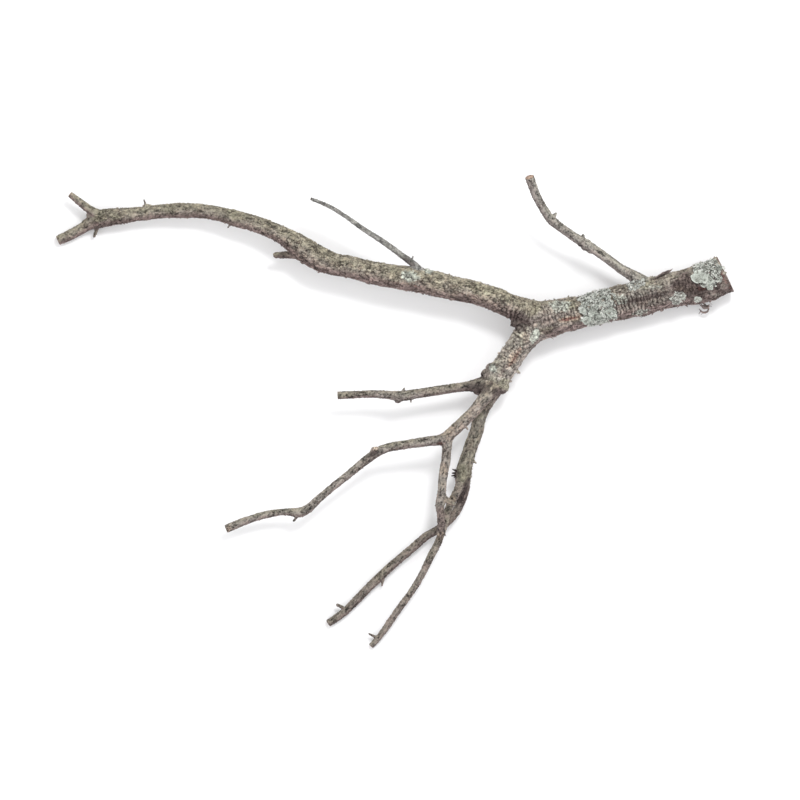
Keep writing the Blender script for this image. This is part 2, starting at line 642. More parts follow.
def to_sheet(points: np.ndarray) -> np.ndarray:
    """Ground points as x and y on the sheet."""
    nearer = 1 - points[:, 2] / EYE_HEIGHT
    x = (points[:, 0] + SHEET_CENTRE_X - EYE_X) / nearer + EYE_X
    y = (SHEET_CENTRE_Y - EYE_Y - points[:, 1]) / nearer + EYE_Y
    return np.stack((x, y), axis=1)


def smooth_route(stations: tuple, step: float) -> np.ndarray:
    """Rows of x, y, height and radius along the smooth curve through the stations."""
    rows = np.array(stations, float)
    padded = np.vstack((rows[0], rows, rows[-1]))
    points = []
    for before, start, end, after in zip(padded, padded[1:], padded[2:], padded[3:]):
        count = max(1, round(float(np.linalg.norm(end[:3] - start[:3])) / step))
        t = np.arange(count)[:, None] / count
        curve = 2 * start + (end - before) * t
        curve += (2 * before - 5 * start + 4 * end - after) * t**2
        curve += (3 * start - before - 3 * end + after) * t**3
        points.append(0.5 * curve)
    return np.vstack((*points, rows[-1:]))


def cross_frames(line: np.ndarray) -> tuple[np.ndarray, np.ndarray, np.ndarray]:
    """The way along a line at each point, and the two directions across it, the last upwards."""
    along = np.gradient(line, axis=0)
    along /= np.linalg.norm(along, axis=1)[:, None]
    steep = (np.abs(along[:, 2]) > 0.9)[:, None]
    upright = np.where(steep, np.array((0.0, 1.0, 0.0)), np.array((0.0, 0.0, 1.0)))
    side = np.cross(along, upright)
    side /= np.linalg.norm(side, axis=1)[:, None]
    return along, side, np.cross(side, along)


def swell(waves: tuple, travelled: np.ndarray, angle: np.ndarray) -> np.ndarray:
    """The sum of waves over the bark, one row for each place along it, one column round it."""
    total = np.zeros((len(travelled), len(angle)))
    for strength, count, turn, start in waves:
        total += strength * np.sin(count * angle + turn * travelled[:, None] + start)
    return total


def built(name: str, points: np.ndarray | list, faces: list) -> bpy.types.Mesh:
    """New mesh data from points and faces."""
    mesh = bpy.data.meshes.new(name)
    mesh.from_pydata(points, [], faces)
    return mesh


def move_points(mesh: bpy.types.Mesh, points: np.ndarray) -> None:
    """Puts a mesh's points in new places."""
    mesh.vertices.foreach_set("co", points.astype(np.float32).ravel())


def started(name: str) -> tuple[bpy.types.Material, Graph, bpy.types.Node]:
    """A new material, its graph and its shader."""
    made = bpy.data.materials.new(name)
    made.use_nodes = True
    return made, Graph(made.node_tree), made.node_tree.nodes["Principled BSDF"]


def evaluated(item: bpy.types.Object) -> bpy.types.Mesh:
    """The item's mesh with its modifiers applied, as new data."""
    graph = bpy.context.evaluated_depsgraph_get()
    return bpy.data.meshes.new_from_object(item.evaluated_get(graph))


def linked(name: str, mesh: bpy.types.Mesh) -> bpy.types.Object:
    """A new object in the scene that shows the mesh."""
    item = bpy.data.objects.new(name, mesh)
    bpy.context.scene.collection.objects.link(item)
    return item


def drop(item: bpy.types.Object) -> None:
    """Removes a helper object and its mesh."""
    mesh = item.data
    bpy.data.objects.remove(item)
    bpy.data.meshes.remove(mesh)


def mesh_rows(source: bpy.types.bpy_prop_collection, name: str, width: int) -> np.ndarray:
    """A mesh property as an array with one row for each element."""
    kind = np.int64 if name in ("vertices", "vertex_index") else np.float64
    values = np.empty(len(source) * width, np.int32 if kind is np.int64 else np.float32)
    source.foreach_get(name, values)
    return values.reshape(-1, width).astype(kind)


def store(mesh: bpy.types.Mesh, name: str, values: np.ndarray) -> None:
    """Keeps numbers or vectors on the mesh's points as an attribute."""
    vector = values.ndim == 2
    attribute = mesh.attributes.new(name, "FLOAT_VECTOR" if vector else "FLOAT", "POINT")
    attribute.data.foreach_set("vector" if vector else "value", values.astype(np.float32).ravel())


def present(item: bpy.types.Object, nodes: tuple, finish: bpy.types.Material) -> None:
    """Makes a finished piece part of the branch.

    Args:
        item: The piece.
        nodes: The solids that it stands for.
        finish: Its material.
    """
    item.data.materials.clear()
    item.data.materials.append(finish)
    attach(item, "root")
    if nodes:
        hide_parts(*nodes)
    LOG.info("%s: %d triangles", item.name, len(item.data.loops) - 2 * len(item.data.polygons))


class ShapeTree(Graph):
    """A Geometry Nodes tree with named inputs, which ends in real, dressed meshes."""

    def __init__(self, name: str, inputs: dict) -> None:
        """Makes the tree and its inputs.

        Args:
            name: The tree's name.
            inputs: A starting value for each input's name, or None for a collection.
        """
        super().__init__(bpy.data.node_groups.new(name, "GeometryNodeTree"))
        self.identifiers = {}
        self.declare("Geometry", "NodeSocketGeometry", None)
        for label, value in inputs.items():
            self.declare(label, SOCKET_KINDS[type(value)], value)
        self.declare("Material", "NodeSocketMaterial", None)
        way_out = {"in_out": "OUTPUT", "socket_type": "NodeSocketGeometry"}
        self.tree.interface.new_socket("Geometry", **way_out)
        self.entry = self.tree.nodes.new("NodeGroupInput")

    def declare(self, label: str, kind: str, value: float | None) -> None:
        """Adds one input to the tree's interface."""
        socket = self.tree.interface.new_socket(label, in_out="INPUT", socket_type=kind)
        self.identifiers[label] = socket.identifier
        if value is not None:
            socket.default_value = value

    def given(self, label: str) -> Value:
        """The value that comes in at a named input."""
        return Value(self, self.find(self.entry.outputs, label))

    def kept(self, name: str, vector: bool = True) -> Value:
        """A vector or number attribute of the surface."""
        settings = {"data_type": "FLOAT_VECTOR" if vector else "FLOAT"}
        return self.add("GeometryNodeInputNamedAttribute", settings, {"Name": name})

    def keep(self, shape: Value, name: str, value: Value) -> Value:
        """The shape with a number kept on its points."""
        sockets = {"Geometry": shape, "Name": name, "Value": value}
        return self.add("GeometryNodeStoreNamedAttribute", {"data_type": "FLOAT"}, sockets)

    def random(self, low: Value | float, high: Value | float, seed: Value | int) -> Value:
        """A random number for each point."""
        sockets = {"Min_001": low, "Max_001": high, "Seed": seed}
        return self.add("FunctionNodeRandomValue", {"data_type": "FLOAT"}, sockets)

    def joined(self, *shapes: Value) -> Value:
        """The shapes as one."""
        made = self.node("GeometryNodeJoinGeometry", {}, {})
        for shape in shapes:
            self.tree.links.new(shape.socket, made.inputs[0])
        return Value(self, made.outputs[0])

    def spread(self, sockets: dict) -> tuple[Value, Value]:
        """Spreads points over a surface, with the turn that stands a shape upright on each."""
        settings = {"distribute_method": "POISSON"}
        sockets.update({"Distance Min": self.given("Spacing"), "Seed": self.given("Seed")})
        made = self.node("GeometryNodeDistributePointsOnFaces", settings, sockets)
        points, upright = self.find(made.outputs, "Points"), self.find(made.outputs, "Rotation")
        return Value(self, points), Value(self, upright)

    def stand(
        self, points: Value, upright: Value, kit: str, size: Value, rise: Value | tuple
    ) -> Value:
        """Stands shapes on points, each picked, tilted and spun at random.

        Args:
            points: Where they stand.
            upright: The turn that stands a shape upright on each point.
            kit: The name of the input with the shapes.
            size: How large each one is.
            rise: How far they are lifted.

        Returns:
            The shapes as instances.
        """
        tilt, seed = self.given("Tilt"), self.given("Seed")
        low = self.combined(tilt * -1, tilt * -1, -HALF_TURN)
        spin = {"Min": low, "Max": self.combined(tilt, tilt, HALF_TURN), "Seed": seed + 1}
        turn = self.add("FunctionNodeRandomValue", {"data_type": "FLOAT_VECTOR"}, spin)
        turn = self.add("FunctionNodeEulerToRotation", {}, {"Euler": turn})
        both = {"Rotation": upright, "Rotate By": turn}
        turned = self.add("FunctionNodeRotateRotation", {"rotation_space": "LOCAL"}, both)
        shapes = {"Collection": self.given(kit), "Separate Children": True, "Reset Children": True}
        sockets = {
            "Points": points,
            "Instance": self.add("GeometryNodeCollectionInfo", {}, shapes),
            "Pick Instance": True,
            "Rotation": turned,
            "Scale": self.combined(size, size, size),
        }
        placed = self.add("GeometryNodeInstanceOnPoints", {}, sockets)
        lift = {"Instances": placed, "Translation": rise}
        return self.add("GeometryNodeTranslateInstances", {}, lift)

    def close(self, shape: Value) -> None:
        """Makes the instances real, dresses the shape and leads it out of the tree."""
        real = self.add("GeometryNodeRealizeInstances", {}, {"Geometry": shape})
        sockets = {"Geometry": real, "Material": self.given("Material")}
        dressed = self.add("GeometryNodeSetMaterial", {}, sockets)
        way_out = self.tree.nodes.new("NodeGroupOutput")
        self.tree.links.new(dressed.socket, way_out.inputs[0])

    def grow(self, item: bpy.types.Object, inputs: dict) -> bpy.types.Mesh:
        """Runs the tree on an item.

        Args:
            item: The object whose mesh goes in.
            inputs: A value for each named input that differs from its starting one.

        Returns:
            The plain mesh that comes out.
        """
        modifier = item.modifiers.new(self.tree.name, "NODES")
        modifier.node_group = self.tree
        for label, value in inputs.items():
            modifier[self.identifiers[label]] = value
        mesh = evaluated(item)
        item.modifiers.remove(modifier)
        return mesh


@dataclass(frozen=True)
class BarkFinish:
    """The colours of bark, and how they lie over each other."""

    name: str
    ground: tuple = rgb(136, 128, 121)
    crevice: tuple = rgb(50, 40, 38)
    pink: tuple = rgb(146, 126, 117)
    film: tuple = rgb(134, 133, 105)
    mauve: tuple = rgb(104, 84, 82)
    grey: tuple = rgb(146, 147, 144)
    pale: tuple = rgb(162, 167, 158)
    tan: tuple = rgb(152, 136, 121)
    dark: tuple = rgb(66, 56, 55)
    rust: tuple = rgb(98, 60, 54)
    fresh_wood: tuple = rgb(190, 164, 145)
    old_wood: tuple = rgb(104, 66, 58)
    mottle: float = 5.0
    speckle: float = 2.2
    bump: float = 0.00045
    low: float = 0.22
    high: float = 1.95

    def material(self) -> bpy.types.Material:
        """The finish as a material."""
        made, graph, shader = started(self.name)
        place = graph.place()
        grain = graph.attribute("grain")
        crevice = graph.level("crevice")
        mottle = graph.noise(place, self.mottle, 3.0, 0.6)
        speckle = graph.noise(place, self.speckle, 3.0, 0.6)
        streaks = graph.noise(graph.vector("MULTIPLY", grain, (0.16, 0.6, 0.6)), 1.0, 3.0, 0.6)
        colour = self.films(graph, place, mottle, speckle)
        colour = self.patches(graph, colour, place, speckle)
        tone = mottle * 0.45 + speckle * 0.85 + streaks * 0.3 + graph.level("plate") * 0.5
        spread = {"From Min": 0.8, "From Max": 1.3, "To Min": self.low, "To Max": self.high}
        spread["Value"] = tone
        glow = graph.add("ShaderNodeMapRange", {}, spread) * (graph.level("shade") + 1)
        colour = graph.vector("MULTIPLY", colour, graph.combined(glow, glow, glow))
        colour = graph.mixed(crevice.step(0.15, 1.0) * 0.8, colour, self.crevice)
        cut = graph.level("cut")
        colour = graph.mixed(cut.step(0.3, 0.7), colour, self.end_grain(graph, grain))
        rough = crevice * 0.1 + speckle * 0.12 + 0.8
        height = speckle * 0.7 + streaks * 0.5 + mottle * 0.4 - crevice * 0.5
        bump = graph.bumpy(0.85, self.bump, height)
        surface = {"Base Color": colour, "Roughness": rough, "Normal": bump}
        graph.feed(shader, surface | {"Specular IOR Level": 0.25})
        return made

    def films(self, graph: Graph, place: Value, mottle: Value, speckle: Value) -> Value:
        """Bare bark, partly pink, with green film, purple-brown skin and grey skin over it."""
        tints = graph.attribute("tints")
        warmth = graph.level("hue") * 0.7 + graph.noise(place, 6.0, 2.0) * 0.8
        colour = graph.mixed(warmth.step(0.72, 1.0) * 0.5, self.ground, self.pink)
        wide = graph.noise(place, 11.0, 2.0, 0.5)
        patchy = wide * 0.6 + mottle * 0.6 + speckle * 0.4
        olive = (tints.part("X") + patchy - 0.8).step(0.1, 0.95) * 0.6
        colour = graph.mixed(olive, colour, self.film)
        purple = (tints.part("Y") + speckle * 0.5 + mottle * 0.5 - 0.5).step(0.1, 0.95) * 0.8
        colour = graph.mixed(purple, colour, self.mauve)
        bare = tints.part("Z") * (speckle * 0.9 + 0.25)
        return graph.mixed(bare, colour, self.grey)

    def patches(self, graph: Graph, colour: Value, place: Value, speckle: Value) -> Value:
        """Tan grain, dark skin and pale crusts, over the bark."""
        spots = graph.attribute("spots")
        warm = (spots.part("Y") + speckle * 1.4 - 0.7).step(0.15, 0.95) * 0.7
        colour = graph.mixed(warm, colour, self.tan)
        dark = (spots.part("Z") + speckle * 1.6 - 0.8).step(0.15, 0.85) * 0.75
        colour = graph.mixed(dark, colour, self.dark)
        red = (graph.level("rust") + speckle - 0.5).step(0.2, 0.8) * 0.8
        colour = graph.mixed(red, colour, self.rust)
        crumbs = graph.add("ShaderNodeTexVoronoi", {}, {"Vector": place, "Scale": 0.42})
        crumb = crumbs.step(0.5, 0.28) * (spots.part("X") + speckle - 0.4).step(0.35, 0.6)
        colour = graph.mixed(crumb * 0.75, colour, self.pale)
        crust = (spots.part("X") + speckle * 1.2 - 0.65).step(0.35, 0.85) * 0.7
        return graph.mixed(crust, colour, self.pale)

    def end_grain(self, graph: Graph, grain: Value) -> Value:
        """Rings and cracks of wood where a limb was cut or broken, in a rim of bark."""
        flat = graph.vector("MULTIPLY", grain, (0.0, 1.0, 1.0))
        length = {"operation": "LENGTH"}
        reach = graph.add("ShaderNodeVectorMath", length, {"Vector": flat}, "Value")
        wobble = graph.noise(flat, 3.0, 2.0, 0.5)
        fine = graph.maths("SINE", reach * 4.2 + wobble * 5.0) * 0.5 + 0.5
        broad = graph.maths("SINE", reach * 0.9 + graph.noise(flat, 9.0, 1.0) * 8.0) * 0.5 + 0.5
        angle = graph.maths("ARCTAN2", flat.part("Y"), flat.part("Z"))
        ray = graph.combined(angle * 2.6, reach * 0.08, 0.0)
        crack = graph.noise(ray, 1.0, 2.0, 0.5).step(0.44, 0.38)
        dark = graph.attribute("spots").part("Z")
        wood = graph.mixed(dark * 0.5, self.fresh_wood, self.old_wood)
        depth = fine * 0.25 + broad * 0.3 + wobble * 0.2 + crack * 0.6
        wood = graph.mixed(depth, wood, self.crevice)
        return graph.mixed(reach.step(15.4, 16.8), wood, self.rust)


@dataclass
class Stretch:
    """One round stretch of wood with a line through its middle: a limb, a prong or a spur."""

    owner: int
    rows: np.ndarray
    flat_start: bool = False
    flat_end: bool = False
    line: np.ndarray = field(init=False)
    radius: np.ndarray = field(init=False)
    travelled: np.ndarray = field(init=False)

    def __post_init__(self) -> None:
        """Works out the line over the ground and the way along it."""
        self.line = to_ground(self.rows[:, :3])
        self.radius = self.rows[:, 3]
        self.travelled = distances(self.line)

    def measure(self, points: np.ndarray) -> tuple[np.ndarray, ...]:
        """Where points lie on this stretch.

        Args:
            points: Points over the ground, in millimetres.

        Returns:
            Which points are near, how far they are outside the bark, the radius there, their
            place along and across, and 1 where they are on a flat end.
        """
        reach = NEAR_REACH + self.radius.max()
        inside = (points > self.line.min(0) - reach).all(1)
        inside &= (points < self.line.max(0) + reach).all(1)
        near = np.flatnonzero(inside)
        squares = (self.line**2).sum(1)
        nearest = np.empty(len(near), int)
        for start in range(0, len(near), BLOCK):
            block = points[near[start : start + BLOCK]]
            gap = squares - 2 * block @ self.line.T
            nearest[start : start + BLOCK] = gap.argmin(1)
        along, side, up = cross_frames(self.line)
        offset = points[near] - self.line[nearest]
        shift = (offset * along[nearest]).sum(1)
        across = [(offset * way[nearest]).sum(1) for way in (side, up)]
        grain = np.stack((self.travelled[nearest] + shift, *across), axis=1)
        length = self.travelled[-1]
        beyond = np.maximum(-grain[:, 0], 0) + np.maximum(grain[:, 0] - length, 0)
        across = np.hypot(grain[:, 1], grain[:, 2])
        radius = self.radius[nearest]
        outside = np.hypot(across, beyond) - radius
        flat = np.zeros(len(near))
        inner = eased(radius - across, 0.1, 1.0)
        if self.flat_start:
            flat = np.maximum(flat, eased(grain[:, 0], 1.2, 0.4) * inner)
        if self.flat_end:
            flat = np.maximum(flat, eased(length - grain[:, 0], 1.2, 0.4) * inner)
        return near, outside, radius, grain, flat


@dataclass
class Shell:
    """Gathers closed round shapes, drawn on the sheet, in one mesh."""

    points: list = field(default_factory=list)
    faces: list = field(default_factory=list)
    count: int = 0

    def add_rings(self, rings: np.ndarray, first: np.ndarray, last: np.ndarray) -> None:
        """Adds a tube through rings of points, closed by a fan at each end."""
        loops, sides = rings.shape[:2]
        rows = np.arange(loops * sides).reshape(loops, sides) + self.count
        near, far = rows[:-1], rows[1:]
        quads = np.stack((near, np.roll(near, -1, 1), np.roll(far, -1, 1), far), axis=-1)
        self.faces.extend(quads.reshape(-1, 4).tolist())
        for row, tip in ((rows[0], loops * sides), (rows[-1], loops * sides + 1)):
            fan = np.stack((row, np.roll(row, -1), np.full(sides, tip + self.count)), axis=-1)
            self.faces.extend(fan.tolist())
        self.points.append(to_ground(np.vstack((rings.reshape(-1, 3), first, last))))
        self.count += loops * sides + 2

    def add_tube(self, rows: np.ndarray, end: End, knobbly: bool = True, ribs: tuple = ()) -> None:
        """Adds a limb or spur through rows of x, y, height and radius."""
        line, radius = rows[:, :3], rows[:, 3]
        along, side, up = cross_frames(line)
        sides = max(LEAST_SIDES, round(2 * math.pi * float(radius.max()) / SIDE_LENGTH))
        angle, travelled = circle(sides), distances(line)
        reach = np.repeat(radius[:, None], sides, 1)
        if knobbly:
            reach = reach * (1 + KNOBBLE * swell(KNOBBLE_WAVES, travelled, angle))
        reach = reach + swell(ribs, travelled, angle)
        way = np.cos(angle)[:, None] * side[:, None] + np.sin(angle)[:, None] * up[:, None]
        rings = line[:, None] + reach[:, :, None] * way
        last = line[-1].copy()
        if end is End.RAGGED:
            depth = RAGGED_DEPTH * radius[-1]
            rings[-1] += along[-1] * depth * np.sin(RAGGED_TEETH * angle)[:, None]
            last -= along[-1] * depth
        if end is End.DOMED:
            shares = np.array(DOME_RINGS)[:, None, None]
            shrink = np.sqrt(1 - shares**2)
            dome = line[-1] + (rings[-1] - line[-1]) * shrink + along[-1] * shares * radius[-1]
            rings = np.vstack((rings, dome))
            last += along[-1] * radius[-1]
        self.add_rings(rings, line[0], last)

    def add_lump(self, lump: tuple) -> None:
        """Adds a rounded swelling: its middle, then its half sizes along x, y and z."""
        middle, half = np.array(lump[:3]), np.array(lump[3:])
        angle = circle(LUMP_SIDES)
        tilt = angle[1 : LUMP_SIDES // 2]
        wide, high = np.sin(tilt)[:, None], np.repeat(np.cos(tilt)[:, None], LUMP_SIDES, 1)
        rings = np.stack((wide * np.cos(angle), wide * np.sin(angle), high), axis=-1)
        pole = np.array((0.0, 0.0, 1.0))
        self.add_rings(middle + rings * half, middle + pole * half, middle - pole * half)

    def add_hairs(self, hairs: tuple) -> None:
        """Adds short stiff hairs, each from its foot to its tip."""
        for foot, tip in hairs:
            self.add_tube(smooth_route((foot, tip), HAIR_STEP), End.CUT, knobbly=False)

    def mesh(self, name: str) -> bpy.types.Mesh:
        """The gathered shapes as mesh data, in millimetres."""
        return built(name, np.vstack(self.points), self.faces)


@dataclass
class Skin:
    """The bark of the whole branch, grown as one skin and then parted into its limbs."""

    furrow_depth: float = 0.75
    plate_length: float = 5.4
    plate_width: float = 2.9
    lump_height: float = 0.7
    grain_height: float = 0.42
    wrinkle_height: float = 0.9
    names: list = field(default_factory=lambda: list(LIMBS))
    item: bpy.types.Object = field(init=False)
    points: np.ndarray = field(init=False)
    normals: np.ndarray = field(init=False)
    faces: np.ndarray = field(init=False)
    edges: np.ndarray = field(init=False)
    degree: np.ndarray = field(init=False)
    owner: np.ndarray = field(init=False)
    cut: np.ndarray = field(init=False)
    tree: BVHTree = field(init=False)

    def stretches(self) -> list[Stretch]:
        """Every limb, prong and spur as a stretch of wood."""
        found = []
        for number, limb in enumerate(LIMBS.values()):
            rows = smooth_route(limb.stations, STRETCH_STEP)
            cut = limb.end is End.CUT
            found.append(Stretch(number, rows, flat_start=number == 0, flat_end=cut))
            for foot, tip in limb.spurs:
                found.append(Stretch(number, smooth_route((foot, tip), STRETCH_STEP)))
        prong = smooth_route(TIP_PRONG, STRETCH_STEP)
        found.append(Stretch(self.names.index("long_limb"), prong, flat_end=True))
        return found

    def grow(self) -> None:
        """Grows the skin: one closed mesh round every limb, fork and spur."""
        shell = Shell()
        for limb in LIMBS.values():
            rows = smooth_route(limb.stations, RING_STEP)
            shell.add_tube(rows, limb.end, ribs=TRUNK_RIBS if limb.stations is TRUNK else ())
            for foot, tip in limb.spurs:
                shell.add_tube(smooth_route((foot, tip), RING_STEP), End.DOMED, knobbly=False)
            for lump in limb.lumps:
                shell.add_lump(lump)
        shell.add_tube(smooth_route(TIP_PRONG, RING_STEP), End.CUT)
        self.item = linked("skin", shell.mesh("skin"))
        remesh = self.item.modifiers.new("one_skin", "REMESH")
        remesh.mode = "VOXEL"
        remesh.voxel_size = SKIN_CELL
        self.swap(evaluated(self.item))
        self.item.modifiers.clear()
        self.points = mesh_rows(self.item.data.vertices, "co", 3)
        self.faces = mesh_rows(self.item.data.loops, "vertex_index", 1).reshape(-1, 4)
        self.edges = mesh_rows(self.item.data.edges, "vertices", 2)
        self.degree = np.bincount(self.edges.ravel(), minlength=len(self.points))[:, None]
        for share in SMOOTHING * 3:
            self.points = self.relaxed(self.points, share)
        LOG.info("skin: %d points", len(self.points))

    def swap(self, mesh: bpy.types.Mesh) -> None:
        """Gives the skin's object new mesh data, shaded smooth."""
        old = self.item.data
        self.item.data = mesh
        bpy.data.meshes.remove(old)
        mesh.shade_smooth()

    def relaxed(self, values: np.ndarray, share: float) -> np.ndarray:
        """Moves each point's values a share of the way to the mean of its neighbours'."""
        first, second = self.edges.T
        count = len(self.points)
        total = np.empty_like(values)
        for column in range(values.shape[1]):
            level = values[:, column]
            total[:, column] = np.bincount(first, level[second], count)
            total[:, column] += np.bincount(second, level[first], count)
        return values + share * (total / self.degree - values)

    def survey(self) -> None:
        """Finds each point's limb and place on it, rounds off the forks and marks the bark."""
        count, limbs = len(self.points), len(self.names)
        gaps = np.full((count, limbs), FAR_OFF)
        girths = np.ones((count, limbs))
        nearest = np.full(count, FAR_OFF)
        grain = np.zeros((count, 3))
        cut = np.zeros(count)
        for number, stretch in enumerate(self.stretches()):
            near, outside, radius, place, flat = stretch.measure(self.points)
            closer = outside < gaps[near, stretch.owner]
            gaps[near[closer], stretch.owner] = outside[closer]
            girths[near[closer], stretch.owner] = radius[closer]
            best = outside < nearest[near]
            nearest[near[best]] = outside[best]
            grain[near[best]] = place[best] + (GRAIN_GAP * number, 0.0, 0.0)
            cut[near[best]] = flat[best]
        self.owner = gaps.argmin(1)
        self.cut = cut
        rows = np.arange(count)
        girth = girths[rows, self.owner]
        kin = self.kinship()[self.owner]
        others = np.where(kin, gaps, FAR_OFF)
        rival = others.argmin(1)
        reach = 0.6 * np.minimum(girth, girths[rows, rival]) + 1.0
        lag = others[rows, rival] - gaps[rows, self.owner]
        share = np.clip(1 - lag / reach, 0, 1)
        fork = eased(lag, 3.0 + reach, 0.0)
        self.shape_forks(share, reach, fork)
        marks = self.marks(girth)
        forms = np.stack((marks[:, Mark.WRINKLE], fork, girth), axis=1)
        for _ in range(FORM_ROUNDS):
            forms = self.relaxed(forms, 0.5)
        tints, spots = marks[:, : Mark.PALE], marks[:, Mark.PALE : Mark.WRINKLE].copy()
        spots[:, 2] = np.maximum(spots[:, 2], cut * (self.owner == 0))
        kept = {"grain": grain, "cut": cut, "forms": forms, "tints": tints, "spots": spots}
        kept["rust"] = marks[:, Mark.RUST]
        kept["shade"] = marks[:, Mark.LIT] - marks[:, Mark.DIM]
        for name, values in kept.items():
            store(self.item.data, name, values)

    def kinship(self) -> np.ndarray:
        """Which limbs grow from each other, as a square table."""
        table = np.zeros((len(self.names), len(self.names)), bool)
        for number, limb in enumerate(LIMBS.values()):
            for host in limb.grows_from:
                table[number, self.names.index(host)] = True
        return table | table.T

    def shape_forks(self, share: np.ndarray, reach: np.ndarray, fork: np.ndarray) -> None:
        """Fills the creases at the forks and keeps the moved points on the skin."""
        self.settle()
        self.points += self.normals * (share**2 * reach / 4)[:, None]
        for _ in range(FORK_ROUNDS):
            self.points += (self.relaxed(self.points, 0.5) - self.points) * fork[:, None]
        self.settle()

    def settle(self) -> None:
        """Brings the skin's mesh and its normals up to the points."""
        move_points(self.item.data, self.points)
        self.item.data.update()
        self.normals = mesh_rows(self.item.data.vertex_normals, "vector", 3)

    def marks(self, girth: np.ndarray) -> np.ndarray:
        """How strongly each point has each mark, one column for each kind of Mark."""
        table = np.zeros((len(LIMBS), len(Mark)))
        columns = [Mark.FILM, Mark.MAUVE, Mark.GREY, Mark.TAN, Mark.DIM, Mark.LIT]
        for row, limb in zip(table, LIMBS.values()):
            shade = (max(-limb.shade, 0.0), max(limb.shade, 0.0))
            row[columns] = (limb.film, limb.mauve, limb.grey, limb.tan, *shade)
        marks = table[self.owner]
        weather = self.normals @ np.array(WEATHER_SIDE)
        marks[:, Mark.FILM] += 0.3 * eased(weather, 0.0, 0.8)
        marks[:, Mark.FILM] -= 0.25 * eased(weather, -0.1, -0.7)
        marks[:, Mark.MAUVE] += 0.6 * eased(weather, 0.25, -0.5)
        sheet = to_sheet(self.points)
        edge = cloud(self.points, 5.0) + 0.6 * cloud(self.points, 2.0, 3)
        seen = eased(self.normals[:, 2], -0.35, 0.1)
        for mark, rows in PATCHES.items():
            column = marks[:, mark]
            for patch in (Patch(*row) for row in rows):
                level = eased(oval_reach(sheet, patch) + 0.5 * (edge - 0.8), 1.15, 0.65)
                np.maximum(column, level * seen * patch.strength, out=column)
        hidden = eased(self.normals[:, 2], -0.1, -0.6)
        for number, mark in enumerate((Mark.PALE, Mark.TAN, Mark.DARK, Mark.FILM)):
            spread = eased(cloud(self.points, 14.0, 20 + number), 0.62, 0.78)
            marks[:, mark] += 0.7 * spread * np.maximum(hidden, 0.25)
        for _ in range(MARK_ROUNDS):
            marks = self.relaxed(marks, 0.5)
        return np.clip(marks, 0.0, 1.0)

    def relief(self) -> None:
        """Raises plates, furrows, wrinkles and grain on the skin."""
        sizes = {
            "Furrow depth": self.furrow_depth,
            "Plate length": self.plate_length,
            "Plate width": self.plate_width,
            "Lump height": self.lump_height,
            "Grain height": self.grain_height,
            "Wrinkle height": self.wrinkle_height,
        }
        tree = ShapeTree("bark_relief", sizes)
        place = tree.add("GeometryNodeInputPosition", {}, {})
        grain = tree.kept("grain")
        forms = tree.kept("forms")
        wrinkled, fork, girth = forms.part("X"), forms.part("Y"), forms.part("Z")
        coarse = girth.step(4.5, 10.0)
        wood = 1 - tree.kept("cut", vector=False)
        swirl = {"Vector": place, "Scale": 0.2, "Detail": 2.0}
        bend = tree.add("ShaderNodeTexNoise", {}, swirl, "Color")
        bend = tree.vector("MULTIPLY", tree.vector("SUBTRACT", bend, (0.5, 0.5, 0.5)), (5, 5, 5))
        grain = tree.vector("ADD", grain, bend)
        length, width = tree.given("Plate length"), tree.given("Plate width")
        plate = tree.vector("MULTIPLY", grain, tree.combined(1 / length, 1 / width, 1 / width))
        crack, tone, hue = self.cells(tree, plate, 0.13)
        fine = tree.vector("MULTIPLY", plate, (2.1, 1.9, 1.9))
        fine_crack, fine_tone, fine_hue = self.cells(tree, fine, 0.18)
        fork_crack, fork_tone, _ = self.cells(tree, tree.scaled(place, 0.36), 0.2)
        crack = crack * (1 - fork) + fork_crack * fork
        tone = tone * (1 - fork) + fork_tone * fork
        gate = tree.noise(place, 8.0, 1.0).step(0.36, 0.6)
        rift_place = tree.vector("MULTIPLY", grain, (0.045, 0.3, 0.3))
        rift = tree.maths("ABSOLUTE", tree.noise(rift_place, 1.0, 3.0, 0.55) - 0.5)
        rift = rift.step(0.035, 0.0) * (1 - fork)
        fold_place = tree.vector("MULTIPLY", grain, (0.34, 0.07, 0.07))
        fold = tree.noise(fold_place, 1.0, 2.0, 0.5) - 0.5
        fold_line = tree.maths("ABSOLUTE", fold).step(0.045, 0.0)
        folded = wrinkled * 0.75 + coarse * 0.3 + 0.15
        sway = tree.noise(tree.vector("MULTIPLY", grain, (0.07, 0.06, 0.06)), 1.0, 1.0)
        ring = tree.maths("SINE", grain.part("X") * 1.7 + sway * 11.0)
        crimp = wrinkled * (1 - fork * 0.7)
        crack = crack * (1 - crimp * 0.6)
        lumps = (tree.noise(place, 8.5, 1.0) - 0.5) * tree.given("Lump height")
        knots = (tree.noise(place, 3.0, 2.0, 0.6) - 0.5) * (coarse * 0.1 + 1.05)
        grit = (tree.noise(place, 1.5, 1.0) - 0.5) * tree.given("Grain height")
        depth = (crack * coarse * gate + fine_crack * 0.35 + rift * coarse * 0.7) * -1
        height = depth * tree.given("Furrow depth") + (tone - 0.5) * (coarse * 0.4 + 0.05)
        height = height + lumps * (coarse * 0.7 + 0.4) + knots + grit + (fine_tone - 0.5) * 0.16
        height = height + (fold * 1.2 - fold_line * 0.45) * folded * tree.given("Wrinkle height")
        height = height + ring * crimp * 0.5 + coarse * 0.25
        height = height * wood + (grit * 0.5 + knots * coarse) * (1 - wood)
        crevice = crack * coarse * gate * 0.8 + fine_crack * 0.3 + rift * coarse * 0.8
        crevice = crevice + fold_line * folded * 0.7 + knots.step(-0.12, -0.4) * 0.5
        crevice = crevice + ring.step(-0.5, -0.95) * crimp * 0.68
        normal = tree.add("GeometryNodeInputNormal", {}, {})
        shift = tree.vector("MULTIPLY", normal, tree.combined(height, height, height))
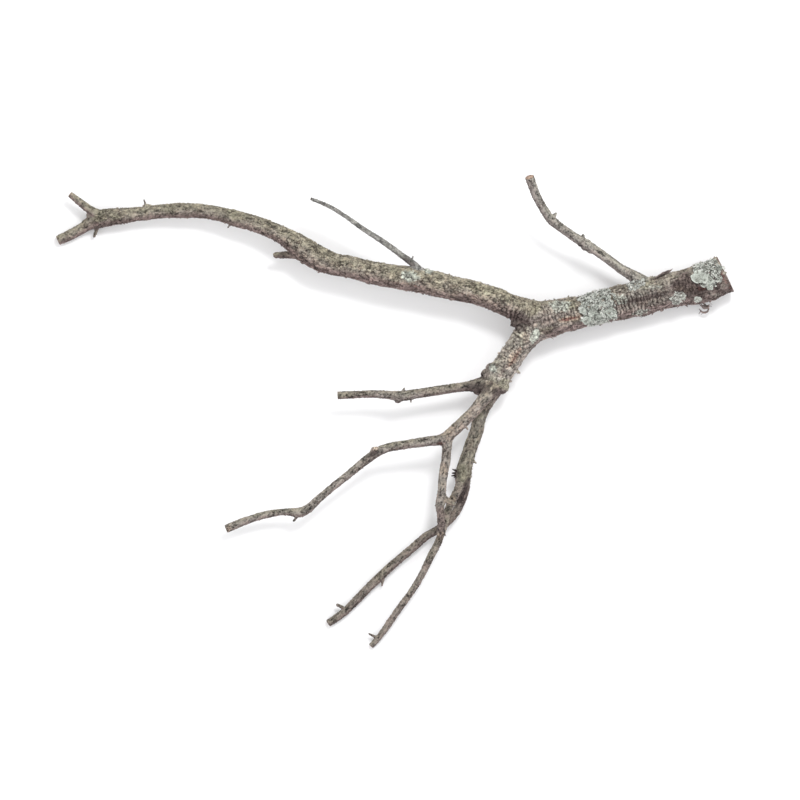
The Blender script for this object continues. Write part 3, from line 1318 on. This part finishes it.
        raised = {"Geometry": tree.given("Geometry"), "Offset": shift}
        shape = tree.add("GeometryNodeSetPosition", {}, raised)
        shape = tree.keep(shape, "crevice", tree.maths("MINIMUM", crevice * wood, 1.0))
        level = tone * 0.6 + fine_tone * 0.4
        level = level + ((ring * 0.5 + 0.5) - level) * crimp * 0.7
        shape = tree.keep(shape, "plate", level)
        shape = tree.keep(shape, "hue", hue * 0.7 + fine_hue * 0.3)
        tree.close(shape)
        self.swap(tree.grow(self.item, {}))
        self.points = mesh_rows(self.item.data.vertices, "co", 3)
        self.normals = mesh_rows(self.item.data.vertex_normals, "vector", 3)
        self.tree = BVHTree.FromPolygons(self.points.tolist(), self.faces.tolist())

    @staticmethod
    def cells(tree: ShapeTree, place: Value, crack: float) -> tuple[Value, Value, Value]:
        """Plates of bark: 1 in the cracks between them, and two random levels for each.

        Args:
            tree: The tree that the nodes go in.
            place: Where on the bark, one plate wide for each unit.
            crack: Half the width of a crack.

        Returns:
            The crack and the two levels.
        """
        sockets = {"Vector": place, "Scale": 1.0}
        edge = tree.add("ShaderNodeTexVoronoi", {"feature": "DISTANCE_TO_EDGE"}, sockets)
        tone = tree.add("ShaderNodeTexVoronoi", {}, sockets, "Color")
        return edge.step(crack, 0.02), tone.part("X"), tone.part("Y")

    def part(self, finishes: dict[str, bpy.types.Material]) -> None:
        """Parts the skin into one closed piece for each limb, with its slot's material."""
        owners = np.sort(self.owner[self.faces], axis=1)[:, 1]
        self.points[:, 2] = np.maximum(self.points[:, 2], 0.0)
        levels = self.item.data.attributes
        for number, (name, limb) in enumerate(LIMBS.items()):
            faces = self.faces[owners == number]
            used, corners = np.unique(faces, return_inverse=True)
            rows = corners.reshape(-1, 4).tolist()
            mesh = built(f"{name}_bark", self.points[used] * MM, rows)
            for level in SKIN_VECTORS:
                store(mesh, level, mesh_rows(levels[level].data, "vector", 3)[used])
            for level in SKIN_NUMBERS:
                store(mesh, level, mesh_rows(levels[level].data, "value", 1)[used].ravel())
            self.close_ends(mesh, self.normals[used])
            piece = linked(f"{name}_bark", mesh)
            present(piece, (name,), finishes[limb.slot])
        drop(self.item)

    def drop_on(self, spots: np.ndarray) -> np.ndarray:
        """The points of the bark that lie uppermost at spots on the sheet.

        Args:
            spots: One row of x and y for each spot.

        Returns:
            One row of x, y and z over the ground for each spot, in millimetres.
        """
        found = []
        eye = Vector((EYE_X - SHEET_CENTRE_X, SHEET_CENTRE_Y - EYE_Y, EYE_HEIGHT))
        floor = to_ground(np.column_stack((spots, np.zeros(len(spots)))))
        for foot in floor:
            ray = Vector(foot) - eye
            hit = self.tree.ray_cast(eye, ray.normalized())[0]
            found.append(tuple(hit) if hit else tuple(foot))
        found = np.array(found)
        return np.where(found[:, 2:] > 0, found, found[found[:, 2] > 0].mean(0))

    @staticmethod
    def close_ends(mesh: bpy.types.Mesh, normals: np.ndarray) -> None:
        """Closes a piece where it was parted, and keeps the whole skin's shading on it."""
        shape = bmesh.new()
        shape.from_mesh(mesh)
        rim = [edge for edge in shape.edges if edge.is_boundary]
        filled = bmesh.ops.holes_fill(shape, edges=rim, sides=0)["faces"]
        if filled:
            bmesh.ops.poke(shape, faces=filled)
        shape.to_mesh(mesh)
        shape.free()
        mesh.shade_smooth()
        mesh.update()
        own = mesh_rows(mesh.vertex_normals, "vector", 3)
        own[: len(normals)] = normals
        mesh.normals_split_custom_set_from_vertices(own.tolist())


@dataclass
class FlakeTree:
    """Makes small loose flakes or crumbs and the tree that spreads them over the skin."""

    name: str
    width: float
    length: float
    height: float
    sides: int = 8

    def shapes(self) -> bpy.types.Collection:
        """Three closed, uneven little plates with a raised middle."""
        kit = bpy.data.collections.new(f"{self.name}_kit")
        angle = circle(self.sides)
        for number in range(3):
            reach = 1 + 0.24 * np.sin(3 * angle + number) + 0.14 * np.sin(5 * angle - 2 * number)
            x = self.width / 2 * reach * np.cos(angle)
            y = self.length / 2 * reach * np.sin(angle)
            bend = self.height * 0.5 * np.sin(2 * angle + number)
            ring = np.stack((x, y, bend), axis=1).tolist()
            points = [(0.0, 0.0, self.height), *ring, (0.0, 0.0, -self.height)]
            faces = []
            for side in range(self.sides):
                here, after = 1 + side, 1 + (side + 1) % self.sides
                faces.append((0, here, after))
                faces.append((after, here, len(points) - 1))
            mesh = built(f"{self.name}_{number}", points, faces)
            kit.objects.link(bpy.data.objects.new(mesh.name, mesh))
        return kit

    def tree(self) -> ShapeTree:
        """The tree, with the girths, spacing, tilt, lift, brightness and seed as inputs."""
        inputs = {
            "Shapes": None,
            "Least girth": 0.0,
            "Most girth": 30.0,
            "Spacing": 3.0,
            "Tilt": 0.4,
            "Lift": 0.2,
            "Brightness": 0.0,
            "Seed": 1,
        }
        tree = ShapeTree(self.name, inputs)
        girth = tree.kept("forms").part("Z")
        thick = tree.maths("GREATER_THAN", girth, tree.given("Least girth"))
        thin = tree.maths("LESS_THAN", girth, tree.given("Most girth"))
        bark = tree.maths("LESS_THAN", tree.kept("cut", vector=False), 0.1)
        place = tree.add("GeometryNodeInputPosition", {}, {})
        patchy = tree.noise(place, 14.0, 2.0) * place.part("Z").step(2.0, 3.0)
        density = patchy.step(0.36, 0.62) * thick * thin * bark
        surface = {"Mesh": tree.given("Geometry"), "Density Max": 1.0, "Density Factor": density}
        points, upright = tree.spread(surface)
        plate = tree.kept("plate", vector=False)
        points = tree.keep(points, "plate", plate + tree.given("Brightness"))
        points = tree.keep(points, "crevice", tree.kept("crevice", vector=False) * 0.2)
        size = tree.random(0.5, 1.3, tree.given("Seed") + 3)
        rise = tree.combined(0.0, 0.0, tree.given("Lift"))
        tree.close(tree.stand(points, upright, "Shapes", size, rise))
        return tree

    def scatter(self, skin: Skin, inputs: dict, finish: bpy.types.Material) -> None:
        """Spreads the shapes over the skin, as one piece.

        Args:
            skin: The bark that they lie on.
            inputs: The tree's inputs that differ from their starting values.
            finish: Their material.
        """
        inputs["Shapes"] = self.shapes()
        mesh = self.tree().grow(skin.item, inputs)
        move_points(mesh, mesh_rows(mesh.vertices, "co", 3) * MM)
        mesh.shade_smooth()
        present(linked(self.name, mesh), (), finish)


@dataclass(frozen=True)
class Shred:
    """A loose shred of bark: a ragged ribbon through stations of x, y, height and half width."""

    stations: tuple
    lean: tuple
    thickness: float
    ragged: float
    hairs: tuple = ()
    nodes: tuple = ()


CURL_FLAKE = (
    (700.4, 304.6, 13, 1.4), (703, 306.4, 12.4, 2.4), (706, 307.2, 11.6, 3),
    (709.6, 305.6, 10.8, 1.4),
)
FLAP_HAIRS = (((667, 272, 31, 0.5), (673, 268.6, 31.4, 0.2)),)
CURL_HAIRS = (
    ((706, 306, 11.6, 0.35), (711.6, 303.4, 12, 0.12)),
    ((706.6, 306.6, 11, 0.35), (712.4, 304.6, 10.4, 0.12)),
    ((707, 307.4, 10.6, 0.3), (712, 306.4, 9, 0.12)),
    ((701, 311, 8, 0.5), (698.6, 314, 6, 0.2)), ((702.6, 312, 8, 0.4), (701.6, 314.6, 5.6, 0.15)),
)
SHREDS = {
    "bark_flap": Shred(BARK_FLAP, (0.15, -0.75, 1.0), 1.0, 0.45, FLAP_HAIRS, ("bark_flap",)),
    "bark_curl": Shred(BARK_CURL, (0.5, 0.75, 0.45), 1.1, 0.5, CURL_HAIRS, ("bark_curl",)),
    "curl_flake": Shred(CURL_FLAKE, (0.15, -1.0, 0.5), 1.0, 0.65),
}
BLACK_TUFT = (
    ((457.4, 471.6, 22.4, 1.3), (452.4, 469.2, 25, 0.5)),
    ((457.4, 472.2, 23, 1.2), (455, 469.2, 25, 0.4)),
    ((457.4, 473, 22, 1.5), (452, 473.2, 23.6, 0.6)),
    ((457.4, 474.6, 22, 1.3), (451.4, 476, 22, 0.5)),
    ((457.4, 475.4, 22.4, 1.1), (453.8, 477.4, 23.6, 0.4)),
)
BROKEN_FIBRES = (
    ((438.4, 533, 36, 0.6), (437.2, 537.6, 35.6, 0.2)),
    ((440.6, 533.4, 37.6, 0.7), (440.2, 538.6, 37.4, 0.2)),
    ((443, 533.6, 37.4, 0.6), (443.4, 537.4, 37, 0.2)),
    ((444.4, 533, 35.6, 0.6), (446, 536.4, 35, 0.2)),
)


@dataclass
class LooseBark:
    """Makes the loose shreds of bark, with the fine hairs on them."""

    finish: bpy.types.Material
    sides: int = 12
    step: float = 0.45

    def build(self, name: str, shred: Shred) -> None:
        """Makes one shred as a piece."""
        rows = smooth_route(shred.stations, self.step)
        line = rows[:, :3]
        along, _, _ = cross_frames(line)
        lean = np.array(shred.lean)
        wide = lean - (along @ lean)[:, None] * along
        wide /= np.linalg.norm(wide, axis=1)[:, None]
        thin = np.cross(along, wide)
        angle = circle(self.sides)
        share = np.linspace(0.0, 1.0, len(rows))
        ends = eased(share, 1.04, 0.86)[:, None]
        edge = 1 - shred.ragged * cloud(np.repeat(line, self.sides, 0), 1.1, 4)
        reach = rows[:, 3:] * 1.2 * edge.reshape(-1, self.sides) * ends
        flat = shred.thickness / 2 * (0.6 + 0.8 * edge.reshape(-1, self.sides)) * (0.4 + 0.6 * ends)
        rings = line[:, None] + (reach * np.cos(angle))[..., None] * wide[:, None]
        rings = rings + (flat * np.sin(angle))[..., None] * thin[:, None]
        shell = Shell()
        shell.add_rings(rings, line[0], line[-1] + along[-1] * shred.thickness / 2)
        shell.add_hairs(shred.hairs)
        self.dress(name, shell, shred.nodes)

    def hairs(self, name: str, hairs: tuple, dark: float = 0.0) -> None:
        """Makes a tuft of short stiff hairs as a piece, blackened by a share."""
        shell = Shell()
        shell.add_hairs(hairs)
        self.dress(name, shell, (), dark)

    def dress(self, name: str, shell: Shell, nodes: tuple, dark: float = 0.0) -> None:
        """Makes the gathered shapes a dressed piece with its bark's levels."""
        mesh = shell.mesh(name)
        store(mesh, "crevice", np.full(len(mesh.vertices), dark))
        store(mesh, "shade", np.full(len(mesh.vertices), -0.7 * dark))
        points = mesh_rows(mesh.vertices, "co", 3)
        store(mesh, "grain", points)
        store(mesh, "plate", cloud(points, 1.3, 2))
        store(mesh, "hue", cloud(points, 2.4, 5))
        move_points(mesh, points * MM)
        mesh.shade_smooth()
        present(linked(f"{name}_shred", mesh), nodes, self.finish)


@dataclass(frozen=True)
class LichenFinish:
    """The pale, matt colours of leafy lichen."""

    name: str = "leafy_lichen"
    hollow: tuple = rgb(46, 45, 40)
    deep: tuple = rgb(118, 123, 116)
    leaf: tuple = rgb(180, 187, 178)
    rim: tuple = rgb(236, 237, 231)
    white: tuple = rgb(236, 233, 227)
    below: tuple = rgb(70, 62, 55)

    def material(self) -> bpy.types.Material:
        """The finish as a material."""
        made, graph, shader = started(self.name)
        place = graph.place()
        mottle = graph.noise(place, 4.0, 3.0, 0.6)
        speckle = graph.noise(place, 1.1, 3.0, 0.6)
        rim = graph.level("rim")
        tone = rim * 0.55 + mottle * 0.5 + speckle * 0.45 + graph.level("shade") * 0.35
        stops = ((0.0, self.hollow), (0.3, self.deep), (0.62, self.leaf), (1.0, self.rim))
        spread = {"From Min": 0.34, "From Max": 1.1, "Value": tone}
        share = graph.add("ShaderNodeMapRange", {}, spread)
        colour = graph.add("ShaderNodeValToRGB", {"stops": stops}, {"Fac": share})
        colour = graph.mixed(graph.level("pallor") * (rim * 0.6 + 0.3), colour, self.white)
        dots = graph.noise(place, 2.6, 2.0, 0.6).step(0.42, 0.36) * (0.75 - rim * 0.5)
        colour = graph.mixed(dots, colour, self.below)
        height = speckle * 0.6 + mottle * 0.5
        surface = {"Base Color": colour, "Normal": graph.bumpy(0.7, 0.0004, height)}
        graph.feed(shader, surface | {"Roughness": 0.9, "Specular IOR Level": 0.2})
        return made


@dataclass(frozen=True)
class Lobe:
    """A broad, smooth lobe of lichen, seen from above: its middle, half sizes and turn."""

    x: float
    y: float
    half_x: float
    half_y: float
    turn: float = 0.0
    lift: float = 1.0
    curl: float = 0.9
    phase: float = 0.0


@dataclass(frozen=True)
class Lichen:
    """One growth of lichen, as an oval on the sheet with a ragged edge."""

    x: float
    y: float
    half_x: float
    half_y: float
    turn: float
    leaf_size: float
    spacing: float
    tilt: float
    crust: float
    pallor: float
    edge: float = 0.5
    seed: int = 1
    lobes: tuple = ()


LICHENS = {
    "lichen_collar": Lichen(
        597.0, 307.4, 19.0, 19.5, 13.0, 2.9, 1.75, 0.8, 0.5, 0.2, 0.45, 3,
        (
            Lobe(611.5, 312.6, 5.6, 4.6, -20.0, 1.3, 0.8, 0.4),
            Lobe(600.5, 318.0, 4.6, 3.8, 30.0, 1.2, 0.7, 2.0),
            Lobe(586.5, 320.6, 4.8, 4.0, 10.0, 1.3, 0.7, 3.1),
            Lobe(591.5, 313.5, 3.6, 3.0, 70.0, 1.3, 0.7, 4.4),
            Lobe(583.0, 311.0, 3.4, 3.2, 0.0, 1.2, 0.7, 5.0),
        ),
    ),
    "lichen_cap": Lichen(
        708.0, 272.0, 13.5, 16.5, 20.0, 3.2, 1.9, 0.9, 0.6, 0.3, 0.4, 5,
        (
            Lobe(699.0, 277.4, 8.4, 6.2, -14.0, 1.9, 1.3, 0.9),
            Lobe(707.5, 279.8, 5.6, 4.6, -30.0, 1.7, 1.1, 2.2),
            Lobe(709.6, 286.6, 4.0, 3.2, -60.0, 1.4, 0.9, 3.6),
        ),
    ),
    "lichen_saddle": Lichen(636.0, 284.0, 10.0, 6.0, 14.0, 2.2, 1.5, 0.8, 0.35, 0.5, 0.7, 8),
    "lichen_tuft": Lichen(
        678.0, 297.4, 6.4, 4.6, 22.0, 2.7, 1.4, 1.0, 0.4, 0.75, 0.8, 11,
        (Lobe(697.6, 299.6, 4.0, 3.0, 10.0, 0.9, 0.6, 1.0),),
    ),
}


@dataclass
class LichenGrowth:
    """Grows one lichen on the bark: a crust, small ruffled leaves and a few broad lobes."""

    name: str
    kind: Lichen
    skin: Skin
    tree: ShapeTree
    kit: bpy.types.Collection
    finish: bpy.types.Material

    def build(self) -> None:
        """Makes the lichen as one piece."""
        shape = linked(f"{self.name}_crust", self.crust(self.bed()))
        inputs = {
            "Leaves": self.kit,
            "Leaf size": self.kind.leaf_size,
            "Spacing": self.kind.spacing,
            "Tilt": self.kind.tilt,
            "Seed": self.kind.seed,
        }
        mesh = self.tree.grow(shape, inputs)
        drop(shape)
        gathered = bmesh.new()
        gathered.from_mesh(mesh)
        for lobe in self.kind.lobes:
            made = self.lobe(lobe)
            gathered.from_mesh(made)
            bpy.data.meshes.remove(made)
        bmesh.ops.scale(gathered, vec=(MM, MM, MM), verts=gathered.verts)
        gathered.to_mesh(mesh)
        gathered.free()
        store(mesh, "pallor", np.full(len(mesh.vertices), self.kind.pallor))
        mesh.shade_smooth()
        present(linked(f"{self.name}_leaves", mesh), (self.name,), self.finish)

    def bed(self) -> np.ndarray:
        """The skin's faces that the lichen grows on."""
        kind = self.kind
        ragged = cloud(self.skin.points, 5.0, kind.seed) + 0.5 * cloud(self.skin.points, 2.2, 9)
        reach = oval_reach(to_sheet(self.skin.points), kind) + kind.edge * (ragged - 0.9)
        allowed = np.isin(self.skin.owner, (0, self.skin.names.index("upper_twig")))
        allowed &= (self.skin.normals[:, 2] > 0.02) & (self.skin.cut < 0.1)
        inside = (reach < 0.92) & allowed
        return self.skin.faces[inside[self.skin.faces].all(1)]

    def crust(self, faces: np.ndarray) -> bpy.types.Mesh:
        """A closed, lumpy crust over the faces, which the leaves stand on."""
        used, corners = np.unique(faces, return_inverse=True)
        quads = corners.reshape(-1, 4)
        points, normals = self.skin.points[used], self.skin.normals[used]
        lumps = cloud(points, 2.4, self.kind.seed + 20)
        lift = self.kind.crust * (0.35 + lumps)
        count = len(points)
        top = points + normals * lift[:, None]
        below = points - normals * CRUST_DEPTH
        sides = np.stack((quads, np.roll(quads, -1, 1)), axis=-1).reshape(-1, 2)
        key = np.sort(sides, axis=1)
        _, back, times = np.unique(key, axis=0, return_inverse=True, return_counts=True)
        rim = sides[times[back.ravel()] == 1]
        walls = np.stack((rim[:, 1], rim[:, 0], rim[:, 0] + count, rim[:, 1] + count), axis=1)
        rows = np.vstack((quads, quads[:, ::-1] + count, walls))
        made = built(f"{self.name}_crust", np.vstack((top, below)), rows.tolist())
        kept = {"rim": lumps * 0.35 - 0.15, "shade": lumps * 0.5 - 0.3, "bearing": np.ones(count)}
        for name, values in kept.items():
            store(made, name, np.concatenate((values, np.zeros(count))))
        return made

    def lobe(self, lobe: Lobe) -> bpy.types.Mesh:
        """A broad lobe that lies on the bark, with a thin curled rim.

        Args:
            lobe: Its place, size and shape.

        Returns:
            A closed mesh in millimetres.
        """
        sides, rings = 40, 9
        angle = circle(sides)
        scallop = 1 + 0.1 * np.sin(3 * angle + lobe.phase) + 0.07 * np.sin(5 * angle - lobe.phase)
        scallop += 0.03 * np.sin(8 * angle + 2 * lobe.phase)
        share = np.arange(1, rings + 1) / rings
        turn = math.radians(lobe.turn)
        x = lobe.half_x * np.cos(angle) * scallop
        y = lobe.half_y * np.sin(angle) * scallop
        across = x * math.cos(turn) + y * math.sin(turn)
        down = y * math.cos(turn) - x * math.sin(turn)
        spot = np.stack((np.outer(share, across), np.outer(share, down)), axis=-1).reshape(-1, 2)
        spot = np.vstack(((0.0, 0.0), spot)) + (lobe.x, lobe.y)
        rim = np.concatenate(([0.0], np.repeat(share, sides)))
        wave = np.concatenate(([0.0], np.outer(share**3, np.sin(7 * angle + lobe.phase)).ravel()))
        folds = 0.35 * np.concatenate(([0.0], np.outer(share, np.sin(4 * angle)).ravel()))
        ground = self.skin.drop_on(spot)
        away = spot - (lobe.x, lobe.y)
        plain = np.column_stack((np.ones(len(spot)), away, away**2, away[:, 0] * away[:, 1]))
        bed = plain @ np.linalg.lstsq(plain, ground[:, 2], rcond=None)[0]
        ground[:, 2] = bed + 0.3 * (ground[:, 2] - bed)
        lift = lobe.lift * (0.55 + 0.45 * rim) + lobe.curl * rim**6 + 0.3 * wave + folds
        upwards = np.array((0.0, 0.0, 1.0))
        top = ground + upwards * lift[:, None]
        below = top - upwards * (0.45 - 0.2 * rim)[:, None]
        count = len(top)
        faces = []
        for ring in range(rings):
            for side in range(sides):
                after = (side + 1) % sides
                outer = (1 + ring * sides + side, 1 + ring * sides + after)
                if ring == 0:
                    faces.append((0, outer[1], outer[0]))
                else:
                    inner = (outer[0] - sides, outer[1] - sides)
                    faces.append((inner[0], inner[1], outer[1], outer[0]))
        under = [tuple(number + count for number in face[::-1]) for face in faces]
        edge = [1 + (rings - 1) * sides + side for side in range(sides)]
        walls = [
            (edge[side - 1], edge[side], edge[side] + count, edge[side - 1] + count)
            for side in range(sides)
        ]
        made = built("lobe", np.vstack((top, below)), faces + under + walls)
        store(made, "rim", np.concatenate((rim**8, rim**8 * 0.5)) * 0.32 + 0.1)
        store(made, "shade", np.repeat((0.4, 0.1), count))
        return made


@dataclass
class LeafTree:
    """Makes the small leaves and the tree that spreads them over a lichen's crust."""

    variants: int = 4
    sides: int = 12

    def leaves(self) -> bpy.types.Collection:
        """Small cupped, lobed leaves, about one unit wide."""
        kit = bpy.data.collections.new("lichen_leaf_kit")
        angle = circle(self.sides)
        for number in range(self.variants):
            lobing = 1 + 0.22 * np.sin((3 + number % 3) * angle + number)
            lobing += 0.1 * np.sin((5 + number) * angle + 2.0 * number)
            flutter = 0.13 * np.sin((2 + number % 2) * 2 * angle + number)
            cup = 0.1 + 0.05 * number
            points = [(0.0, 0.0, 0.0)]
            for radius, height in ((0.26, cup * 0.15), (0.5, cup)):
                reach = radius * lobing
                rise = height + flutter * (radius * 2) ** 2
                ring = np.stack((reach * np.cos(angle), reach * np.sin(angle), rise), axis=1)
                points.extend(map(tuple, ring))
            points.append((0.0, 0.0, -0.12))
            faces = []
            for side in range(self.sides):
                after = (side + 1) % self.sides
                inner = (1 + side, 1 + after)
                outer = (inner[0] + self.sides, inner[1] + self.sides)
                faces.append((0, inner[0], inner[1]))
                faces.append((inner[0], outer[0], outer[1], inner[1]))
                faces.append((outer[1], outer[0], len(points) - 1))
            mesh = built(f"lichen_leaf_{number}", points, faces)
            rim = [0.0] + [0.3] * self.sides + [1.0] * self.sides + [0.0]
            store(mesh, "rim", np.array(rim))
            kit.objects.link(bpy.data.objects.new(mesh.name, mesh))
        return kit

    def tree(self) -> ShapeTree:
        """The tree, with the leaves' size, spacing, tilt and seed as inputs."""
        inputs = {"Leaves": None, "Leaf size": 3.0, "Spacing": 1.6, "Tilt": 0.7, "Seed": 1}
        tree = ShapeTree("ruffled_lichen", inputs)
        crust, seed = tree.given("Geometry"), tree.given("Seed")
        bearing = {"A": tree.kept("bearing", vector=False), "B": 0.9}
        upper = tree.add("FunctionNodeCompare", {"operation": "GREATER_THAN"}, bearing)
        points, upright = tree.spread({"Mesh": crust, "Selection": upper, "Density Max": 1.2})
        points = tree.keep(points, "shade", tree.random(0.0, 1.0, seed + 2))
        size = tree.random(0.55, 1.25, seed + 3) * tree.given("Leaf size")
        leaves = tree.stand(points, upright, "Leaves", size, (0.0, 0.0, 0.16))
        tree.close(tree.joined(crust, leaves))
        return tree


@dataclass
class Studio:
    """The pale floor, the soft light and the camera that looks down."""

    floor_half: float = 3.0
    eye: tuple = ((EYE_X - SHEET_CENTRE_X) * MM, (SHEET_CENTRE_Y - EYE_Y) * MM, EYE_HEIGHT * MM)
    lens: float = 225.0
    key_from: tuple = (0.5, 1.1, 1.95)
    key_size: float = 0.5
    key_power: float = 20.5
    sky: float = 1.15

    def floor(self) -> None:
        """Lays the floor."""
        half = self.floor_half
        corners = [(-half, -half, 0.0), (half, -half, 0.0), (half, half, 0.0), (-half, half, 0.0)]
        mesh = built("floor", corners, [(0, 1, 2, 3)])
        paper, graph, shader = started("pale_paper")
        surface = {"Base Color": rgb(242, 242, 243), "Roughness": 0.95}
        graph.feed(shader, surface | {"Specular IOR Level": 0.1})
        mesh.materials.append(paper)
        linked("floor", mesh)

    def lights(self) -> None:
        """Hangs a wide lamp behind and to the right, under an even white sky."""
        lamp = bpy.data.lights.new("key", "AREA")
        lamp.shape = "DISK"
        lamp.size = self.key_size
        lamp.energy = self.key_power
        key = bpy.data.objects.new("key", lamp)
        key.location = self.key_from
        key.rotation_euler = (-Vector(self.key_from)).to_track_quat("-Z", "Y").to_euler()
        bpy.context.scene.collection.objects.link(key)
        world = bpy.data.worlds.new("white_sky")
        world.use_nodes = True
        sky = world.node_tree.nodes["Background"]
        sky.inputs["Color"].default_value = (1.0, 1.0, 1.0, 1.0)
        sky.inputs["Strength"].default_value = self.sky
        bpy.context.scene.world = world
        bpy.context.scene.view_settings.view_transform = "Standard"

    def camera(self) -> None:
        """Looks straight down on the branch from high up."""
        data = bpy.data.cameras.new("camera")
        data.lens = self.lens
        data.sensor_width = 36.0
        data.clip_end = 20.0
        camera = bpy.data.objects.new("camera", data)
        camera.location = self.eye
        bpy.context.scene.collection.objects.link(camera)
        bpy.context.scene.camera = camera


def main() -> None:
    """Builds and dresses the branch, piece by piece."""
    logging.basicConfig(level=logging.INFO, format="%(name)s: %(message)s")
    studio = Studio()
    studio.camera()
    studio.lights()
    studio.floor()
    finishes = {
        "bark": BarkFinish("old_bark").material(),
        "twig_bark": BarkFinish(
            "twig_bark", mottle=3.2, speckle=1.7, bump=0.0003, low=0.1, high=1.55
        ).material(),
        "pale_bark": BarkFinish("pale_bark", speckle=1.7, bump=0.0002, low=0.18, high=1.3).material(),
        "loose_bark": BarkFinish(
            "loose_bark", ground=rgb(108, 98, 95), pink=rgb(132, 114, 108), speckle=1.4
        ).material(),
    }
    skin = Skin()
    skin.grow()
    skin.survey()
    skin.relief()
    flakes = FlakeTree("bark_flakes", 3.2, 2.2, 0.28)
    loose = {"Least girth": 7.5, "Spacing": 3.4, "Tilt": 0.45, "Lift": 0.25, "Brightness": 0.1}
    flakes.scatter(skin, loose, finishes["bark"])
    ragged = FlakeTree("ragged_flakes", 4.4, 2.4, 0.3)
    rough = {"Least girth": 12.0, "Spacing": 7.0, "Tilt": 0.9, "Lift": 0.5, "Seed": 7}
    ragged.scatter(skin, rough, finishes["bark"])
    crumbs = FlakeTree("twig_crumbs", 1.5, 1.1, 0.4)
    small = {"Most girth": 8.0, "Spacing": 2.6, "Tilt": 0.3, "Lift": 0.05, "Brightness": 0.35}
    crumbs.scatter(skin, small, finishes["twig_bark"])
    skin.part(finishes)
    loose_bark = LooseBark(finishes["loose_bark"])
    for name, shred in SHREDS.items():
        loose_bark.build(name, shred)
    loose_bark.hairs("black_tuft", BLACK_TUFT, 1.0)
    loose_bark.hairs("broken_fibres", BROKEN_FIBRES)
    lichen = LichenFinish().material()
    leaves = LeafTree()
    kit = leaves.leaves()
    leaf_tree = leaves.tree()
    for name, kind in LICHENS.items():
        LichenGrowth(name, kind, skin, leaf_tree, kit, lichen).build()


if __name__ == "__main__":
    main()
